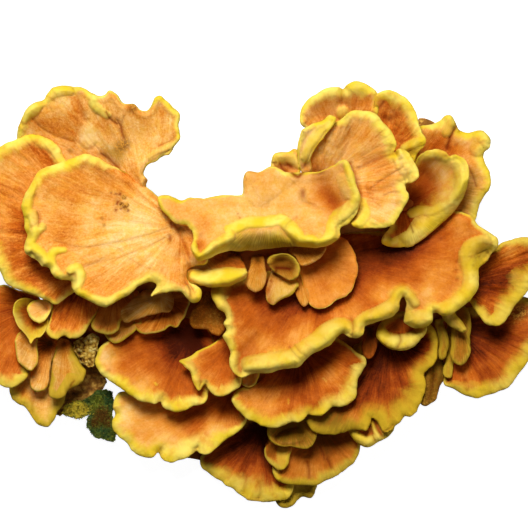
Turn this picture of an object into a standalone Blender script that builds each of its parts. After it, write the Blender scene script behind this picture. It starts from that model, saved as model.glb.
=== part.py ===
"""Chicken of the woods: a cluster of overlapping shelves that grew from one fleshy base.

The cluster lies on the flat face where it was cut from its tree. Metres, +Z up, origin on that face.

Every shelf is drawn from above on a layout sheet: millimetres right of and below the sheet's corner,
with a height above the cut face. The sheet is what an eye EYE_HEIGHT above the cut face sees, so a
point nearer the eye is drawn larger, and place() turns it into a true position.
"""

import math

import bmesh
import bpy
import numpy as np
from mathutils import Vector
from mathutils.geometry import delaunay_2d_cdt

MM = 0.001
GAP = 0.3  # clearance between two pieces that touch
SHEET_ORIGIN = (270.0, 300.0)  # the sheet point over the part's origin
SHEET_EYE = (264.0, 264.0)  # the sheet point under the eye
EYE_HEIGHT = 2080.0
SHEET_HEIGHT = 100.0  # where a millimetre on the sheet is a true millimetre

GRID = 34.0  # spacing of the points inside a shelf
FOLD_FALL = 1.15  # how far a turned-down margin falls, for each millimetre of its width
FOLD_POWER = 1.8
TAPER = 0.7  # how a shelf thins from its root to its margin
BLUNT = 0.5  # share of a shelf's thickness that stands upright at its margin
NO_FOLD = 0.01  # width of the band that turns down where none is given
NEAR_SQUARED = 4.0  # a margin point's sway over the points round it levels off within this, squared,
NEAR_POWER = 1.5  # and falls off with the square of the distance to this power
ROW_STEP = 5.0  # least distance between two points of a shelf's inner row
ROW_SHARE = 0.7  # and least distance of that row from the margin, as a share of the nose
MITRE_LEAST = 0.5  # keeps a point of an outline from running far out at a sharp corner
SWELL_MOST = 2.0  # and a point of a cutter from running far out at a sharp edge
FLAT_ANGLE = 0.1  # degrees; faces that bend less are joined
SHARP_ANGLE = 50.0
ROUND_STEPS = 8  # directions in which the base looks for the shelves over it


def place(x, y, z):
    """True position in metres of a point drawn at x, y on the sheet, z millimetres above the cut."""
    shrink = (EYE_HEIGHT - z) / (EYE_HEIGHT - SHEET_HEIGHT)
    true_x = SHEET_EYE[0] + (x - SHEET_EYE[0]) * shrink - SHEET_ORIGIN[0]
    true_y = SHEET_ORIGIN[1] - SHEET_EYE[1] - (y - SHEET_EYE[1]) * shrink
    return Vector((true_x, true_y, z)) * MM


# The base: where the cluster was cut from its tree, as points on the sheet
CUT_OUTLINE = (
    (72, 205), (52, 232), (46, 262), (42, 300), (48, 338), (60, 368), (84, 374), (104, 362),
    (126, 376), (136, 402), (150, 432), (184, 458), (218, 464), (252, 476), (292, 470),
    (338, 446), (366, 428), (402, 404), (424, 378), (452, 374), (484, 362), (504, 332),
    (504, 300), (490, 276), (474, 252), (458, 222), (444, 190), (424, 160), (398, 138),
    (366, 122), (340, 126), (322, 142), (308, 166), (290, 182), (262, 190), (246, 204),
    (212, 209), (180, 212), (158, 206), (136, 194), (104, 190),
)
# and the humps that its upper side is made of, as (x, y, radius along x, radius along y, height)
MOUNDS = (
    (285, 238, 75, 62, 128),
    (165, 242, 90, 55, 104),
    (350, 200, 80, 75, 112),
    (400, 215, 70, 75, 84),
    (290, 325, 120, 80, 74),
    (165, 305, 110, 62, 72),
    (405, 300, 105, 72, 74),
    (275, 400, 95, 75, 44),
    (85, 300, 75, 75, 74),
    (190, 420, 60, 55, 30),
)
HUMP_BLEND = 6  # higher keeps the creases between humps sharper
BASE_MARGIN = 34.0  # width of the rounding at the foot of the base
BASE_LEAST = 6.0
BASE_BLUNT = 0.35
BASE_GRID = 19.0
BASE_COVER = 6.0  # least depth of a shelf's upper face over the base
LOWEST = 1.0  # no shelf hangs nearer the ground

# Shelves, from the one nearest the eye down. Each has the point it grows from and its margin as
# (x, y, height) and, where the margin turns down, the width of the turned band.
SHELVES = {
    "centre_top": dict(
        root=(268, 208, 122), thick=(13, 48), dish=1.0, nose=8,
        rim=[
            (286, 172, 132), (272, 166, 130), (258, 172, 129), (247, 172, 129), (243, 181, 128),
            (242, 194, 127), (225, 195, 127), (205, 198, 127), (190, 198, 128), (181, 200, 128),
            (167, 195, 130), (158, 197, 131), (160, 207, 133), (167, 216, 134), (177, 224, 134),
            (187, 226, 135), (193, 235, 138), (191, 248, 142), (198, 261, 145, 8),
            (207, 259, 147, 12), (218, 254, 148, 14), (230, 251, 149, 16), (245, 251, 151, 24),
            (270, 249, 152, 26), (286, 247, 152, 18), (300, 247, 152, 12), (315, 248, 152, 10),
            (330, 245, 151, 8), (339, 237, 150), (341, 228, 149), (350, 223, 150),
            (357, 212, 152), (361, 198, 155), (357, 186, 158), (352, 170, 160), (345, 160, 159),
            (335, 164, 150), (320, 171, 140), (302, 172, 134),
        ],
    ),
    "right_fold": dict(
        root=(306, 168, 118), thick=(7, 22), dish=1.0, nose=5,
        rim=[
            (298, 160, 128), (297, 150, 133), (299, 138, 137), (302, 130, 139), (312, 124, 141),
            (322, 121, 142), (330, 115, 144), (336, 118, 145), (333, 126, 144), (326, 134, 142),
            (318, 145, 139), (311, 158, 132),
            (312, 171, 118), (302, 173, 118),
        ],
    ),
    "centre_back": dict(
        root=(288, 180, 112), thick=(8, 22), dish=1.3, nose=6,
        rim=[
            (277, 173, 117), (271, 169, 118), (271, 161, 120), (274, 154, 121), (281, 152, 122),
            (288, 152, 122), (294, 149, 122), (299, 152, 121), (300, 161, 119), (300, 172, 117),
            (298, 186, 114), (280, 188, 114),
        ],
    ),
    "right_fan": dict(
        root=(318, 186, 100), thick=(11, 38), dish=0.75, nose=9,
        rim=[
            (308, 160, 122), (320, 138, 132), (330, 127, 136), (340, 119, 139), (352, 111, 141),
            (362, 110, 142), (372, 112, 143), (380, 118, 144), (387, 126, 144), (393, 134, 144),
            (397, 144, 144), (394, 152, 140), (400, 149, 144), (407, 151, 146), (413, 160, 147),
            (418, 170, 148), (419, 177, 148), (413, 182, 146), (406, 184, 142), (406, 189, 143),
            (409, 197, 146), (406, 204, 147), (400, 214, 147), (393, 225, 146), (384, 228, 146),
            (370, 228, 145), (358, 228, 144), (351, 224, 142), (347, 212, 134), (332, 205, 116),
            (326, 198, 100), (304, 185, 100),
        ],
    ),
    "right_crown": dict(
        root=(345, 158, 84), thick=(12, 32), dish=1.3, nose=10,
        rim=[
            (316, 132, 112), (308, 129, 115), (301, 124, 117), (300, 117, 119), (302, 108, 120),
            (306, 101, 121), (312, 96, 122), (320, 91, 123), (330, 87, 124), (339, 87, 124),
            (343, 89, 121), (347, 85, 124), (354, 81, 125), (362, 82, 125), (370, 86, 124),
            (377, 92, 122), (379, 104, 118), (376, 122, 110), (366, 145, 96),
            (359, 162, 84), (334, 167, 84),
        ],
    ),
    "right_hollow": dict(
        root=(374, 168, 92), thick=(12, 29), dish=2.0, nose=11,
        rim=[
            (374, 104, 120), (377, 94, 123), (388, 90, 125), (398, 93, 126), (406, 98, 127),
            (412, 105, 128), (416, 113, 128), (419, 124, 129), (422, 132, 130), (426, 139, 131),
            (424, 146, 130), (418, 153, 126), (414, 162, 119), (400, 172, 105),
            (384, 180, 94), (366, 174, 92), (372, 140, 104),
            (370, 120, 112),
        ],
    ),
    "right_cup": dict(
        root=(402, 206, 84), thick=(11, 26), dish=1.9, nose=9,
        rim=[
            (414, 164, 116), (418, 157, 120), (427, 150, 123), (437, 149, 125), (446, 152, 126),
            (450, 156, 125), (456, 154, 127), (463, 158, 128), (468, 165, 129), (469, 176, 129),
            (467, 187, 130, 8), (463, 198, 131, 14), (457, 208, 132, 19), (449, 217, 132, 22),
            (438, 227, 132, 24), (425, 238, 131, 26), (412, 246, 130, 27), (399, 248, 128, 24),
            (390, 247, 126, 20), (382, 243, 124, 12), (383, 236, 118), (390, 226, 104),
            (392, 190, 98),
        ],
    ),
    "right_back": dict(
        root=(398, 188, 70), thick=(11, 29), dish=0.9, nose=10,
        rim=[
            (412, 140, 88), (420, 127, 95), (432, 124, 98), (440, 120, 100), (446, 115, 102),
            (451, 115, 103), (455, 121, 101), (460, 130, 99), (467, 133, 101), (475, 131, 103),
            (484, 131, 104), (490, 138, 105), (490, 147, 104), (484, 154, 101), (485, 163, 100),
            (490, 173, 101), (491, 184, 101), (486, 194, 98), (480, 203, 96), (477, 214, 93),
            (474, 222, 90), (455, 218, 84), (425, 210, 76),
            (400, 208, 70), (381, 178, 70),
        ],
    ),
    "left_large": dict(
        root=(180, 228, 112), thick=(12, 40), dish=0.7, nose=9,
        rim=[
            (120, 169, 112), (107, 163, 121), (97, 157, 125), (88, 154, 127), (78, 156, 127),
            (67, 160, 127), (56, 164, 127), (46, 167, 127), (37, 173, 127), (31, 184, 126),
            (24, 196, 125), (21, 207, 125), (24, 217, 127), (25, 228, 128), (28, 235, 126),
            (25, 243, 127), (25, 251, 128), (30, 257, 128), (37, 261, 130), (42, 266, 131),
            (49, 268, 132), (52, 274, 133), (58, 279, 134), (65, 280, 133), (71, 281, 130),
            (73, 290, 132), (80, 297, 134), (90, 301, 136), (97, 305, 137), (104, 307, 137),
            (111, 305, 137), (120, 299, 136), (130, 294, 134), (138, 287, 130), (148, 282, 127),
            (156, 285, 127), (151, 296, 130), (159, 294, 130), (170, 292, 130), (181, 292, 129),
            (187, 298, 129), (193, 303, 129), (199, 301, 128), (202, 292, 126), (198, 286, 124),
            (190, 283, 122), (187, 277, 121), (188, 270, 121), (195, 266, 121), (206, 263, 121),
            (208, 250, 121), (202, 230, 120), (184, 212, 118), (160, 198, 114), (146, 186, 112),
            (134, 177, 110),
        ],
    ),
    "left_upper_lobe": dict(
        root=(162, 214, 92), thick=(9, 22), dish=0.8, nose=5,
        rim=[
            (107, 150, 116), (101, 132, 119), (96, 112, 122), (91, 104, 124), (94, 97, 125),
            (104, 95, 125), (110, 90, 126), (117, 94, 126), (124, 103, 126), (134, 104, 127),
            (140, 110, 127), (146, 111, 127), (152, 105, 129), (155, 98, 130), (160, 96, 131),
            (166, 100, 131), (173, 107, 131), (180, 114, 131), (179, 126, 130), (180, 138, 128),
            (175, 146, 126), (170, 154, 125), (162, 157, 124), (156, 162, 122), (150, 164, 121),
            (146, 168, 119), (144, 174, 117), (148, 180, 115), (146, 185, 112), (152, 195, 106),
            (179, 210, 92), (154, 230, 92),
        ],
    ),
    "left_upper": dict(
        root=(145, 208, 86), thick=(10, 26), dish=0.8, nose=8,
        rim=[
            (62, 176, 88), (40, 160, 90), (22, 150, 93), (17, 139, 99), (18, 128, 106),
            (22, 118, 112), (27, 108, 114), (35, 102, 115), (43, 100, 115), (47, 94, 116),
            (52, 88, 117), (61, 85, 118), (71, 86, 118), (81, 87, 118), (91, 92, 117),
            (99, 97, 116), (112, 112, 114), (124, 135, 110), (138, 165, 104),
            (165, 199, 86), (140, 229, 86),
        ],
    ),
    "left_outer": dict(
        root=(116, 240, 76), thick=(12, 32), dish=0.8, nose=10,
        rim=[
            (78, 176, 98), (66, 160, 100), (60, 148, 102), (52, 141, 103), (42, 136, 104),
            (33, 133, 104), (25, 134, 104), (17, 139, 104), (9, 142, 105), (-2, 148, 105),
            (-14, 158, 105), (-23, 174, 105), (-27, 196, 105), (-26, 218, 105), (-20, 238, 105),
            (-10, 257, 105), (0, 272, 105), (5, 281, 104), (11, 287, 103), (20, 290, 102),
            (34, 295, 101), (46, 300, 99), (55, 305, 96), (70, 295, 86), (100, 280, 76),
            (117, 267, 76), (137, 223, 76),
        ],
    ),
    "centre_lip": dict(
        root=(192, 246, 90), thick=(15, 29), dish=0.8, nose=10,
        rim=[
            (184, 262, 108), (186, 272, 115), (187, 280, 118), (194, 285, 120), (203, 286, 122),
            (212, 288, 123), (223, 287, 124), (235, 284, 124), (244, 279, 124), (248, 274, 123),
            (246, 268, 121), (238, 256, 113), (222, 244, 104), (205, 236, 96),
            (196, 237, 90), (183, 248, 90),
        ],
    ),
    "centre_disc": dict(
        root=(306, 256, 92), thick=(5, 22), dish=0.8, nose=4,
        rim=[
            (322, 240, 98), (336, 236, 98), (346, 239, 101), (351, 246, 103), (355, 253, 105),
            (357, 262, 106), (358, 270, 107), (356, 280, 108), (352, 290, 109), (346, 297, 109),
            (337, 300, 109), (330, 306, 110), (322, 309, 110), (314, 308, 109), (309, 304, 107),
            (304, 292, 101), (301, 278, 99), (298, 264, 94),
        ],
    ),
    "centre_frill": dict(
        root=(296, 244, 104), thick=(6, 22), dish=0.8, nose=4,
        rim=[
            (314, 240, 115), (326, 247, 122), (323, 255, 123), (316, 261, 123), (308, 265, 122),
            (301, 266, 121), (296, 258, 116), (289, 252, 107),
            (287, 241, 104), (300, 236, 106),
        ],
    ),
    "centre_curl": dict(
        root=(281, 262, 104), thick=(8, 19), dish=1.8, nose=6,
        rim=[
            (267, 262, 114), (270, 256, 117), (278, 254, 119), (287, 254, 120), (294, 257, 121),
            (299, 264, 121), (300, 272, 121), (296, 278, 120), (290, 281, 119), (281, 276, 115),
            (272, 270, 112),
        ],
    ),
    "centre_knob": dict(
        root=(258, 260, 100), thick=(9, 21), dish=0.7, nose=8,
        rim=[
            (250, 266, 108), (247, 275, 112), (246, 284, 115), (250, 290, 116), (256, 292, 116),
            (262, 289, 115), (266, 282, 113), (267, 274, 110), (265, 265, 106),
            (263, 256, 100), (253, 256, 100),
        ],
    ),
    "centre_leaf": dict(
        root=(279, 268, 92), thick=(8, 19), dish=0.7, nose=6,
        rim=[
            (270, 276, 100), (267, 284, 104), (266, 293, 107), (267, 301, 109), (273, 305, 110),
            (281, 300, 111), (290, 296, 111), (296, 290, 111), (299, 285, 110), (295, 279, 106),
            (289, 273, 100),
            (284, 264, 92), (274, 264, 92),
        ],
    ),
    "centre_bud": dict(
        root=(300, 278, 92), thick=(8, 11), dish=0.8, nose=6,
        rim=[
            (295, 286, 100), (296, 296, 105), (300, 304, 108), (304, 307, 109), (308, 304, 108),
            (310, 297, 105), (308, 288, 101), (304, 280, 96),
            (305, 275, 92), (295, 274, 92),
        ],
    ),
    "middle_left": dict(
        root=(316, 262, 82), thick=(13, 35), dish=0.85, nose=9,
        rim=[
            (222, 276, 90), (214, 284, 95), (211, 292, 99), (213, 301, 102), (218, 309, 104),
            (224, 313, 104), (226, 318, 103), (223, 324, 104), (226, 330, 103), (223, 336, 105),
            (226, 343, 106), (230, 351, 107), (229, 360, 109), (231, 369, 110), (236, 375, 111),
            (242, 378, 111), (250, 374, 111), (262, 373, 112), (272, 373, 112), (281, 370, 112),
            (290, 369, 112), (299, 367, 112), (305, 361, 111), (312, 354, 110), (321, 350, 110),
            (331, 345, 109), (338, 336, 107), (343, 333, 106), (349, 337, 108), (357, 338, 109),
            (363, 334, 109), (365, 326, 108), (373, 323, 109), (384, 320, 110), (393, 316, 110),
            (399, 309, 110), (399, 301, 109), (403, 298, 109), (409, 300, 108), (416, 303, 106),
            (413, 294, 105), (405, 287, 104), (392, 277, 99), (362, 260, 88), (335, 250, 82),
            (290, 258, 80), (250, 268, 82),
        ],
    ),
    "middle_right": dict(
        root=(327, 248, 80), thick=(12, 32), dish=0.85, nose=10,
        rim=[
            (440, 214, 90), (455, 211, 94), (464, 213, 98), (471, 216, 101), (477, 223, 103),
            (485, 230, 105), (493, 235, 107), (498, 240, 107), (497, 248, 105), (491, 255, 101),
            (486, 262, 98), (479, 268, 98), (479, 278, 100), (478, 288, 102), (473, 297, 104),
            (466, 304, 105), (458, 310, 106), (450, 315, 107), (443, 316, 107), (437, 313, 105),
            (433, 313, 103), (433, 320, 103), (428, 326, 103), (420, 328, 102), (411, 327, 100),
            (404, 322, 98), (392, 308, 92), (370, 284, 84), (345, 268, 78),
            (325, 261, 78), (318, 239, 78), (350, 232, 78),
            (395, 226, 84),
        ],
    ),
    "left_knob": dict(
        root=(46, 308, 66), thick=(14, 22), dish=0.5, nose=11,
        rim=[
            (36, 300, 84), (30, 303, 86), (27, 309, 88), (29, 315, 89), (33, 320, 90),
            (40, 323, 90), (46, 320, 89), (51, 312, 86), (53, 305, 82), (45, 300, 80),
        ],
    ),
    "left_curl": dict(
        root=(38, 312, 62), thick=(9, 19), dish=2.6, nose=8,
        rim=[
            (28, 298, 82), (21, 298, 85), (15, 304, 87), (13, 311, 88), (15, 319, 89),
            (19, 328, 90), (24, 333, 90), (28, 338, 90), (31, 344, 89), (35, 339, 90),
            (41, 337, 90), (45, 332, 89), (48, 324, 84), (46, 314, 74), (38, 302, 72),
        ],
    ),
    "left_under": dict(
        root=(86, 280, 62), thick=(11, 26), dish=0.8, nose=9,
        rim=[
            (58, 292, 72), (53, 304, 78), (51, 315, 83), (48, 323, 87), (46, 331, 90),
            (50, 337, 92), (57, 339, 92), (64, 336, 91), (71, 338, 92), (78, 338, 92),
            (85, 332, 91), (90, 324, 88), (98, 310, 80), (104, 292, 70), (98, 272, 62),
            (72, 274, 64),
        ],
    ),
    "left_under_mid": dict(
        root=(116, 288, 56), thick=(10, 24), dish=0.8, nose=8,
        rim=[
            (99, 304, 74), (94, 316, 81), (91, 325, 85), (94, 331, 87), (103, 334, 88),
            (112, 334, 88), (119, 329, 87), (122, 320, 84), (128, 316, 82), (138, 304, 72),
            (136, 284, 60), (112, 276, 56), (103, 290, 62),
        ],
    ),
    "left_under_low": dict(
        root=(136, 302, 52), thick=(8, 21), dish=0.8, nose=6,
        rim=[
            (108, 318, 64), (103, 331, 72), (109, 340, 76), (117, 343, 77), (125, 339, 77),
            (133, 333, 76), (142, 322, 70), (148, 304, 58), (130, 292, 52), (114, 302, 56),
        ],
    ),
    "left_brown": dict(
        root=(160, 296, 64), thick=(9, 21), dish=0.8, nose=7,
        rim=[
            (128, 304, 78), (121, 311, 81), (121, 318, 83), (126, 323, 84), (133, 321, 84),
            (141, 318, 84), (150, 315, 83), (160, 313, 82), (169, 312, 80), (174, 302, 74),
            (168, 290, 66), (145, 290, 66),
        ],
    ),
    "left_brown_low": dict(
        root=(168, 300, 54), thick=(9, 21), dish=0.8, nose=7,
        rim=[
            (136, 318, 68), (133, 324, 71), (137, 330, 73), (143, 334, 75), (150, 334, 75),
            (157, 333, 75), (165, 330, 75), (170, 326, 74), (177, 327, 74), (182, 321, 72),
            (187, 311, 68), (190, 300, 60), (176, 290, 54), (150, 300, 58),
        ],
    ),
    "middle_dark": dict(
        root=(212, 300, 58), thick=(8, 21), dish=0.8, nose=5,
        rim=[
            (198, 304, 66), (192, 311, 69), (190, 318, 71), (190, 325, 72), (194, 328, 73),
            (201, 329, 73), (208, 330, 73), (213, 334, 73), (219, 336, 73), (224, 331, 72),
            (229, 318, 68), (226, 302, 60), (210, 291, 57),
        ],
    ),
    "left_low_outer": dict(
        root=(34, 304, 54), thick=(11, 26), dish=0.7, nose=10,
        rim=[
            (18, 290, 60), (4, 285, 61), (-8, 288, 62), (-18, 300, 63), (-22, 320, 65),
            (-23, 340, 67), (-20, 358, 70), (-13, 373, 73), (-3, 383, 75), (6, 388, 76),
            (14, 387, 76), (22, 382, 75), (28, 375, 73), (26, 368, 71), (24, 350, 66),
            (26, 332, 62), (34, 318, 58), (42, 308, 54), (38, 296, 54),
        ],
    ),
    "left_low_leaf": dict(
        root=(38, 328, 56), thick=(9, 19), dish=0.8, nose=6,
        rim=[
            (27, 329, 68), (19, 333, 75), (15, 341, 79), (16, 351, 81), (18, 361, 83),
            (24, 368, 84), (31, 371, 84), (37, 365, 81), (38, 354, 74), (37, 342, 66),
            (44, 328, 56), (37, 322, 56),
        ],
    ),
    "left_low_bud": dict(
        root=(50, 344, 40), thick=(9, 20), dish=0.8, nose=7,
        rim=[
            (34, 364, 58), (30, 374, 64), (30, 382, 67), (33, 390, 69), (39, 392, 70),
            (45, 390, 70), (49, 383, 68), (50, 372, 63), (52, 360, 54), (60, 342, 40),
            (52, 328, 38), (36, 328, 38), (33, 342, 44), (34, 354, 50),
        ],
    ),
    "left_low_wedge": dict(
        root=(64, 344, 54), thick=(9, 21), dish=0.8, nose=6,
        rim=[
            (55, 352, 61), (52, 365, 67), (51, 378, 71), (49, 390, 74), (50, 397, 75),
            (58, 399, 75), (64, 396, 74), (68, 391, 73), (73, 388, 73), (79, 385, 72),
            (84, 378, 71), (86, 371, 69), (82, 365, 67), (78, 356, 62), (72, 344, 55),
            (69, 341, 54), (60, 339, 54),
        ],
    ),
    "left_low_tip": dict(
        root=(50, 355, 34), thick=(10, 22), dish=0.8, nose=8,
        rim=[
            (16, 374, 44), (10, 384, 49), (9, 391, 51), (12, 399, 53), (18, 404, 54),
            (26, 408, 55), (30, 414, 56), (35, 421, 57), (42, 426, 58), (48, 427, 58),
            (53, 422, 57), (57, 413, 55), (63, 405, 53), (66, 394, 48), (62, 370, 38),
            (58, 350, 34), (42, 346, 34), (24, 360, 38),
        ],
    ),
    "lower_left": dict(
        root=(192, 334, 46), thick=(12, 29), dish=0.8, nose=10,
        rim=[
            (128, 332, 64), (115, 338, 69), (105, 343, 72), (99, 349, 73), (96, 357, 74),
            (95, 363, 75), (98, 370, 76), (101, 375, 77), (110, 381, 77), (120, 388, 78),
            (130, 395, 78), (138, 400, 79), (148, 403, 79), (155, 404, 79), (160, 402, 78),
            (163, 407, 79), (168, 410, 79), (176, 412, 80), (185, 410, 80), (195, 406, 79),
            (205, 402, 78), (209, 390, 72), (213, 372, 64), (216, 350, 55), (205, 324, 46),
            (180, 316, 46), (152, 320, 54),
        ],
    ),
    "lower_mid": dict(
        root=(233, 340, 56), thick=(10, 24), dish=0.8, nose=8,
        rim=[
            (215, 342, 68), (200, 350, 75), (189, 357, 81), (179, 361, 84), (184, 366, 87),
            (190, 372, 88), (192, 380, 89), (195, 387, 90), (199, 391, 90), (202, 387, 88),
            (205, 384, 87), (208, 389, 89), (212, 393, 90), (217, 396, 91), (223, 396, 91),
            (231, 392, 90), (240, 387, 89), (242, 381, 87), (241, 370, 80), (243, 354, 68),
            (244, 338, 58), (228, 332, 56),
        ],
    ),
    "lower_mid_bud": dict(
        root=(252, 360, 52), thick=(8, 11), dish=0.8, nose=6,
        rim=[
            (244, 370, 66), (242, 378, 71), (242, 384, 74), (248, 387, 75), (254, 385, 75),
            (258, 378, 72), (260, 368, 65), (258, 358, 57), (246, 360, 57),
        ],
    ),
    "lower_centre": dict(
        root=(300, 344, 50), thick=(12, 29), dish=0.8, nose=11,
        rim=[
            (262, 380, 68), (250, 386, 72), (241, 388, 75), (234, 393, 76), (232, 400, 77),
            (235, 407, 78), (241, 413, 79), (247, 419, 80), (255, 422, 81), (263, 426, 82),
            (273, 428, 82), (283, 426, 82), (292, 422, 82), (298, 423, 82), (304, 419, 82),
            (308, 414, 80), (313, 415, 81), (320, 416, 81), (327, 412, 81), (332, 407, 79),
            (341, 407, 80), (350, 403, 80), (356, 397, 79), (357, 388, 78), (358, 380, 77),
            (362, 372, 76), (366, 364, 75), (365, 358, 73), (357, 352, 69), (345, 343, 62),
            (325, 332, 54), (300, 328, 48), (275, 345, 52), (266, 364, 60),
        ],
    ),
    "lower_right_knob": dict(
        root=(402, 318, 64), thick=(14, 26), dish=0.7, nose=11,
        rim=[
            (381, 322, 76), (377, 329, 82), (377, 337, 85), (381, 343, 87), (388, 348, 88),
            (396, 350, 89), (404, 350, 89), (412, 347, 88), (418, 342, 86), (424, 336, 84),
            (427, 329, 80), (422, 318, 72), (402, 310, 66),
        ],
    ),
    "lower_right_tongue": dict(
        root=(370, 330, 54), thick=(7, 11), dish=0.8, nose=6,
        rim=[
            (363, 338, 62), (361, 348, 67), (364, 356, 70), (369, 359, 71), (374, 356, 70),
            (377, 348, 68), (377, 338, 64), (374, 326, 57), (364, 328, 57),
        ],
    ),
    "lower_right": dict(
        root=(388, 336, 40), thick=(11, 27), dish=0.75, nose=11,
        rim=[
            (414, 322, 50), (428, 323, 56), (435, 329, 60), (438, 338, 63), (438, 348, 65),
            (437, 357, 66), (433, 365, 66), (427, 370, 66), (424, 374, 65), (426, 382, 66),
            (425, 391, 67), (422, 399, 67), (419, 406, 68), (417, 412, 68), (411, 417, 69),
            (405, 416, 69), (401, 421, 69), (396, 426, 69), (391, 431, 69), (385, 433, 68),
            (381, 428, 67), (377, 421, 67), (372, 418, 67), (370, 424, 68), (366, 431, 68),
            (360, 430, 67), (352, 430, 67), (344, 432, 66), (335, 434, 66), (325, 435, 66),
            (316, 433, 65), (310, 428, 64), (306, 420, 62), (312, 408, 58), (330, 385, 50),
            (350, 358, 43), (370, 332, 39),
        ],
    ),
    "lower_right_lip": dict(
        root=(366, 352, 34), thick=(9, 22), dish=0.8, nose=8,
        rim=[
            (346, 420, 50), (348, 430, 52), (352, 438, 53), (358, 444, 54), (366, 447, 55),
            (374, 445, 56), (381, 441, 57), (388, 437, 57), (393, 431, 57), (398, 415, 53),
            (400, 385, 43), (385, 355, 35), (380, 342, 34), (358, 342, 34), (348, 360, 35),
        ],
    ),
    "right_under_tab": dict(
        root=(446, 308, 92), thick=(7, 12), dish=0.8, nose=5,
        rim=[
            (441, 315, 90), (446, 322, 87), (451, 327, 86), (457, 331, 85), (463, 333, 85),
            (467, 330, 85), (464, 324, 86), (458, 317, 87), (453, 309, 90), (448, 302, 92),
            (440, 305, 92),
        ],
    ),
    "right_under_strap": dict(
        root=(440, 324, 54), thick=(8, 11), dish=0.8, nose=5,
        rim=[
            (437, 333, 61), (439, 343, 65), (438, 353, 67), (440, 360, 68), (445, 359, 68),
            (448, 351, 67), (449, 341, 65), (447, 331, 61), (443, 322, 55),
            (445, 320, 54), (435, 320, 54),
        ],
    ),
    "right_under_hang": dict(
        root=(457, 312, 52), thick=(9, 21), dish=0.8, nose=7,
        rim=[
            (452, 320, 60), (451, 332, 65), (451, 345, 69), (450, 357, 72), (455, 363, 73),
            (461, 365, 74), (468, 360, 73), (471, 352, 72), (470, 343, 70), (471, 330, 67),
            (470, 316, 62), (464, 306, 56), (455, 306, 53),
        ],
    ),
    "right_under_drop": dict(
        root=(450, 340, 44), thick=(7, 10), dish=0.8, nose=5,
        rim=[
            (447, 350, 52), (446, 359, 57), (443, 367, 60), (443, 374, 62), (447, 378, 63),
            (451, 377, 63), (453, 370, 61), (454, 361, 57), (454, 348, 50),
            (455, 336, 44), (445, 336, 44),
        ],
    ),
    "right_under_old": dict(
        root=(432, 348, 38), thick=(8, 11), dish=0.8, nose=6,
        rim=[
            (426, 366, 48), (424, 378, 51), (424, 388, 53), (421, 396, 54), (420, 403, 55),
            (425, 406, 55), (431, 403, 55), (436, 400, 54), (438, 394, 53), (440, 387, 52),
            (444, 379, 49), (444, 364, 44), (438, 350, 39),
            (437, 344, 38), (427, 344, 38),
        ],
    ),
    "right_outer": dict(
        root=(450, 284, 58), thick=(11, 27), dish=0.85, nose=10,
        rim=[
            (470, 266, 70), (481, 260, 75), (489, 253, 79), (497, 247, 82), (504, 242, 84),
            (513, 239, 86), (524, 237, 87), (536, 240, 88), (545, 249, 89), (549, 261, 89),
            (545, 274, 89), (536, 284, 88), (528, 291, 88), (521, 299, 88), (514, 307, 88),
            (509, 316, 88), (503, 323, 88), (497, 326, 88), (490, 326, 87), (484, 322, 86),
            (478, 315, 84), (472, 306, 79), (466, 298, 72),
            (447, 292, 58), (445, 276, 58),
        ],
    ),
    "right_low_outer": dict(
        root=(456, 328, 42), thick=(11, 27), dish=0.8, nose=10,
        rim=[
            (446, 366, 53), (444, 384, 57), (454, 389, 59), (462, 394, 60), (470, 397, 61),
            (478, 398, 62), (488, 395, 62), (498, 392, 62), (506, 389, 63), (512, 384, 63),
            (517, 376, 63), (523, 368, 63), (531, 357, 63), (540, 344, 62), (545, 328, 62),
            (543, 312, 61), (535, 300, 59), (515, 296, 54), (485, 302, 46), (452, 312, 42),
            (446, 332, 43),
        ],
    ),
    "front_left": dict(
        root=(230, 394, 32), thick=(11, 27), dish=0.75, nose=12,
        rim=[
            (130, 391, 49), (119, 393, 51), (114, 400, 53), (113, 408, 54), (115, 414, 54),
            (112, 421, 55), (113, 430, 56), (118, 436, 57), (126, 442, 57), (131, 450, 58),
            (139, 456, 59), (147, 458, 59), (154, 457, 59), (158, 453, 57), (161, 458, 59),
            (165, 461, 60), (171, 463, 60), (178, 461, 60), (186, 458, 60), (193, 454, 59),
            (196, 451, 57), (201, 454, 59), (208, 454, 59), (214, 450, 59), (220, 444, 58),
            (229, 438, 57), (238, 432, 56), (244, 426, 55), (247, 419, 53), (246, 405, 45),
            (242, 386, 36), (225, 378, 34), (190, 380, 40), (155, 384, 46),
        ],
    ),
    "front_pore_lobe": dict(
        root=(292, 414, 38), thick=(9, 19), dish=1.6, nose=7,
        rim=[
            (272, 422, 54), (267, 430, 58), (268, 437, 60), (274, 444, 62), (282, 447, 63),
            (290, 446, 63), (298, 448, 63), (306, 449, 63), (312, 446, 62), (316, 438, 60),
            (315, 429, 56), (306, 418, 46), (298, 406, 40), (286, 406, 40), (284, 416, 46),
        ],
    ),
    "front_tongue": dict(
        root=(280, 436, 30), thick=(8, 19), dish=0.8, nose=7,
        rim=[
            (268, 443, 44), (264, 450, 47), (265, 457, 49), (269, 463, 50), (274, 467, 51),
            (279, 470, 51), (284, 469, 51), (288, 463, 50), (290, 456, 48), (292, 446, 42),
            (288, 436, 34),
            (287, 435, 30), (277, 430, 30),
        ],
    ),
    "front_right": dict(
        root=(318, 424, 24), thick=(10, 24), dish=0.75, nose=10,
        rim=[
            (277, 456, 35), (272, 466, 37), (273, 474, 38), (278, 481, 39), (286, 484, 40),
            (295, 485, 40), (305, 485, 40), (315, 486, 40), (322, 483, 40), (330, 479, 40),
            (338, 475, 40), (345, 470, 39), (352, 464, 38), (357, 457, 37), (360, 449, 36),
            (360, 438, 33), (345, 420, 27), (318, 412, 24), (294, 430, 28),
        ],
    ),
    "front_middle": dict(
        root=(262, 430, 12), thick=(9, 22), dish=0.75, nose=12,
        rim=[
            (207, 448, 22), (200, 458, 24), (201, 466, 25), (207, 472, 25), (214, 477, 26),
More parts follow.
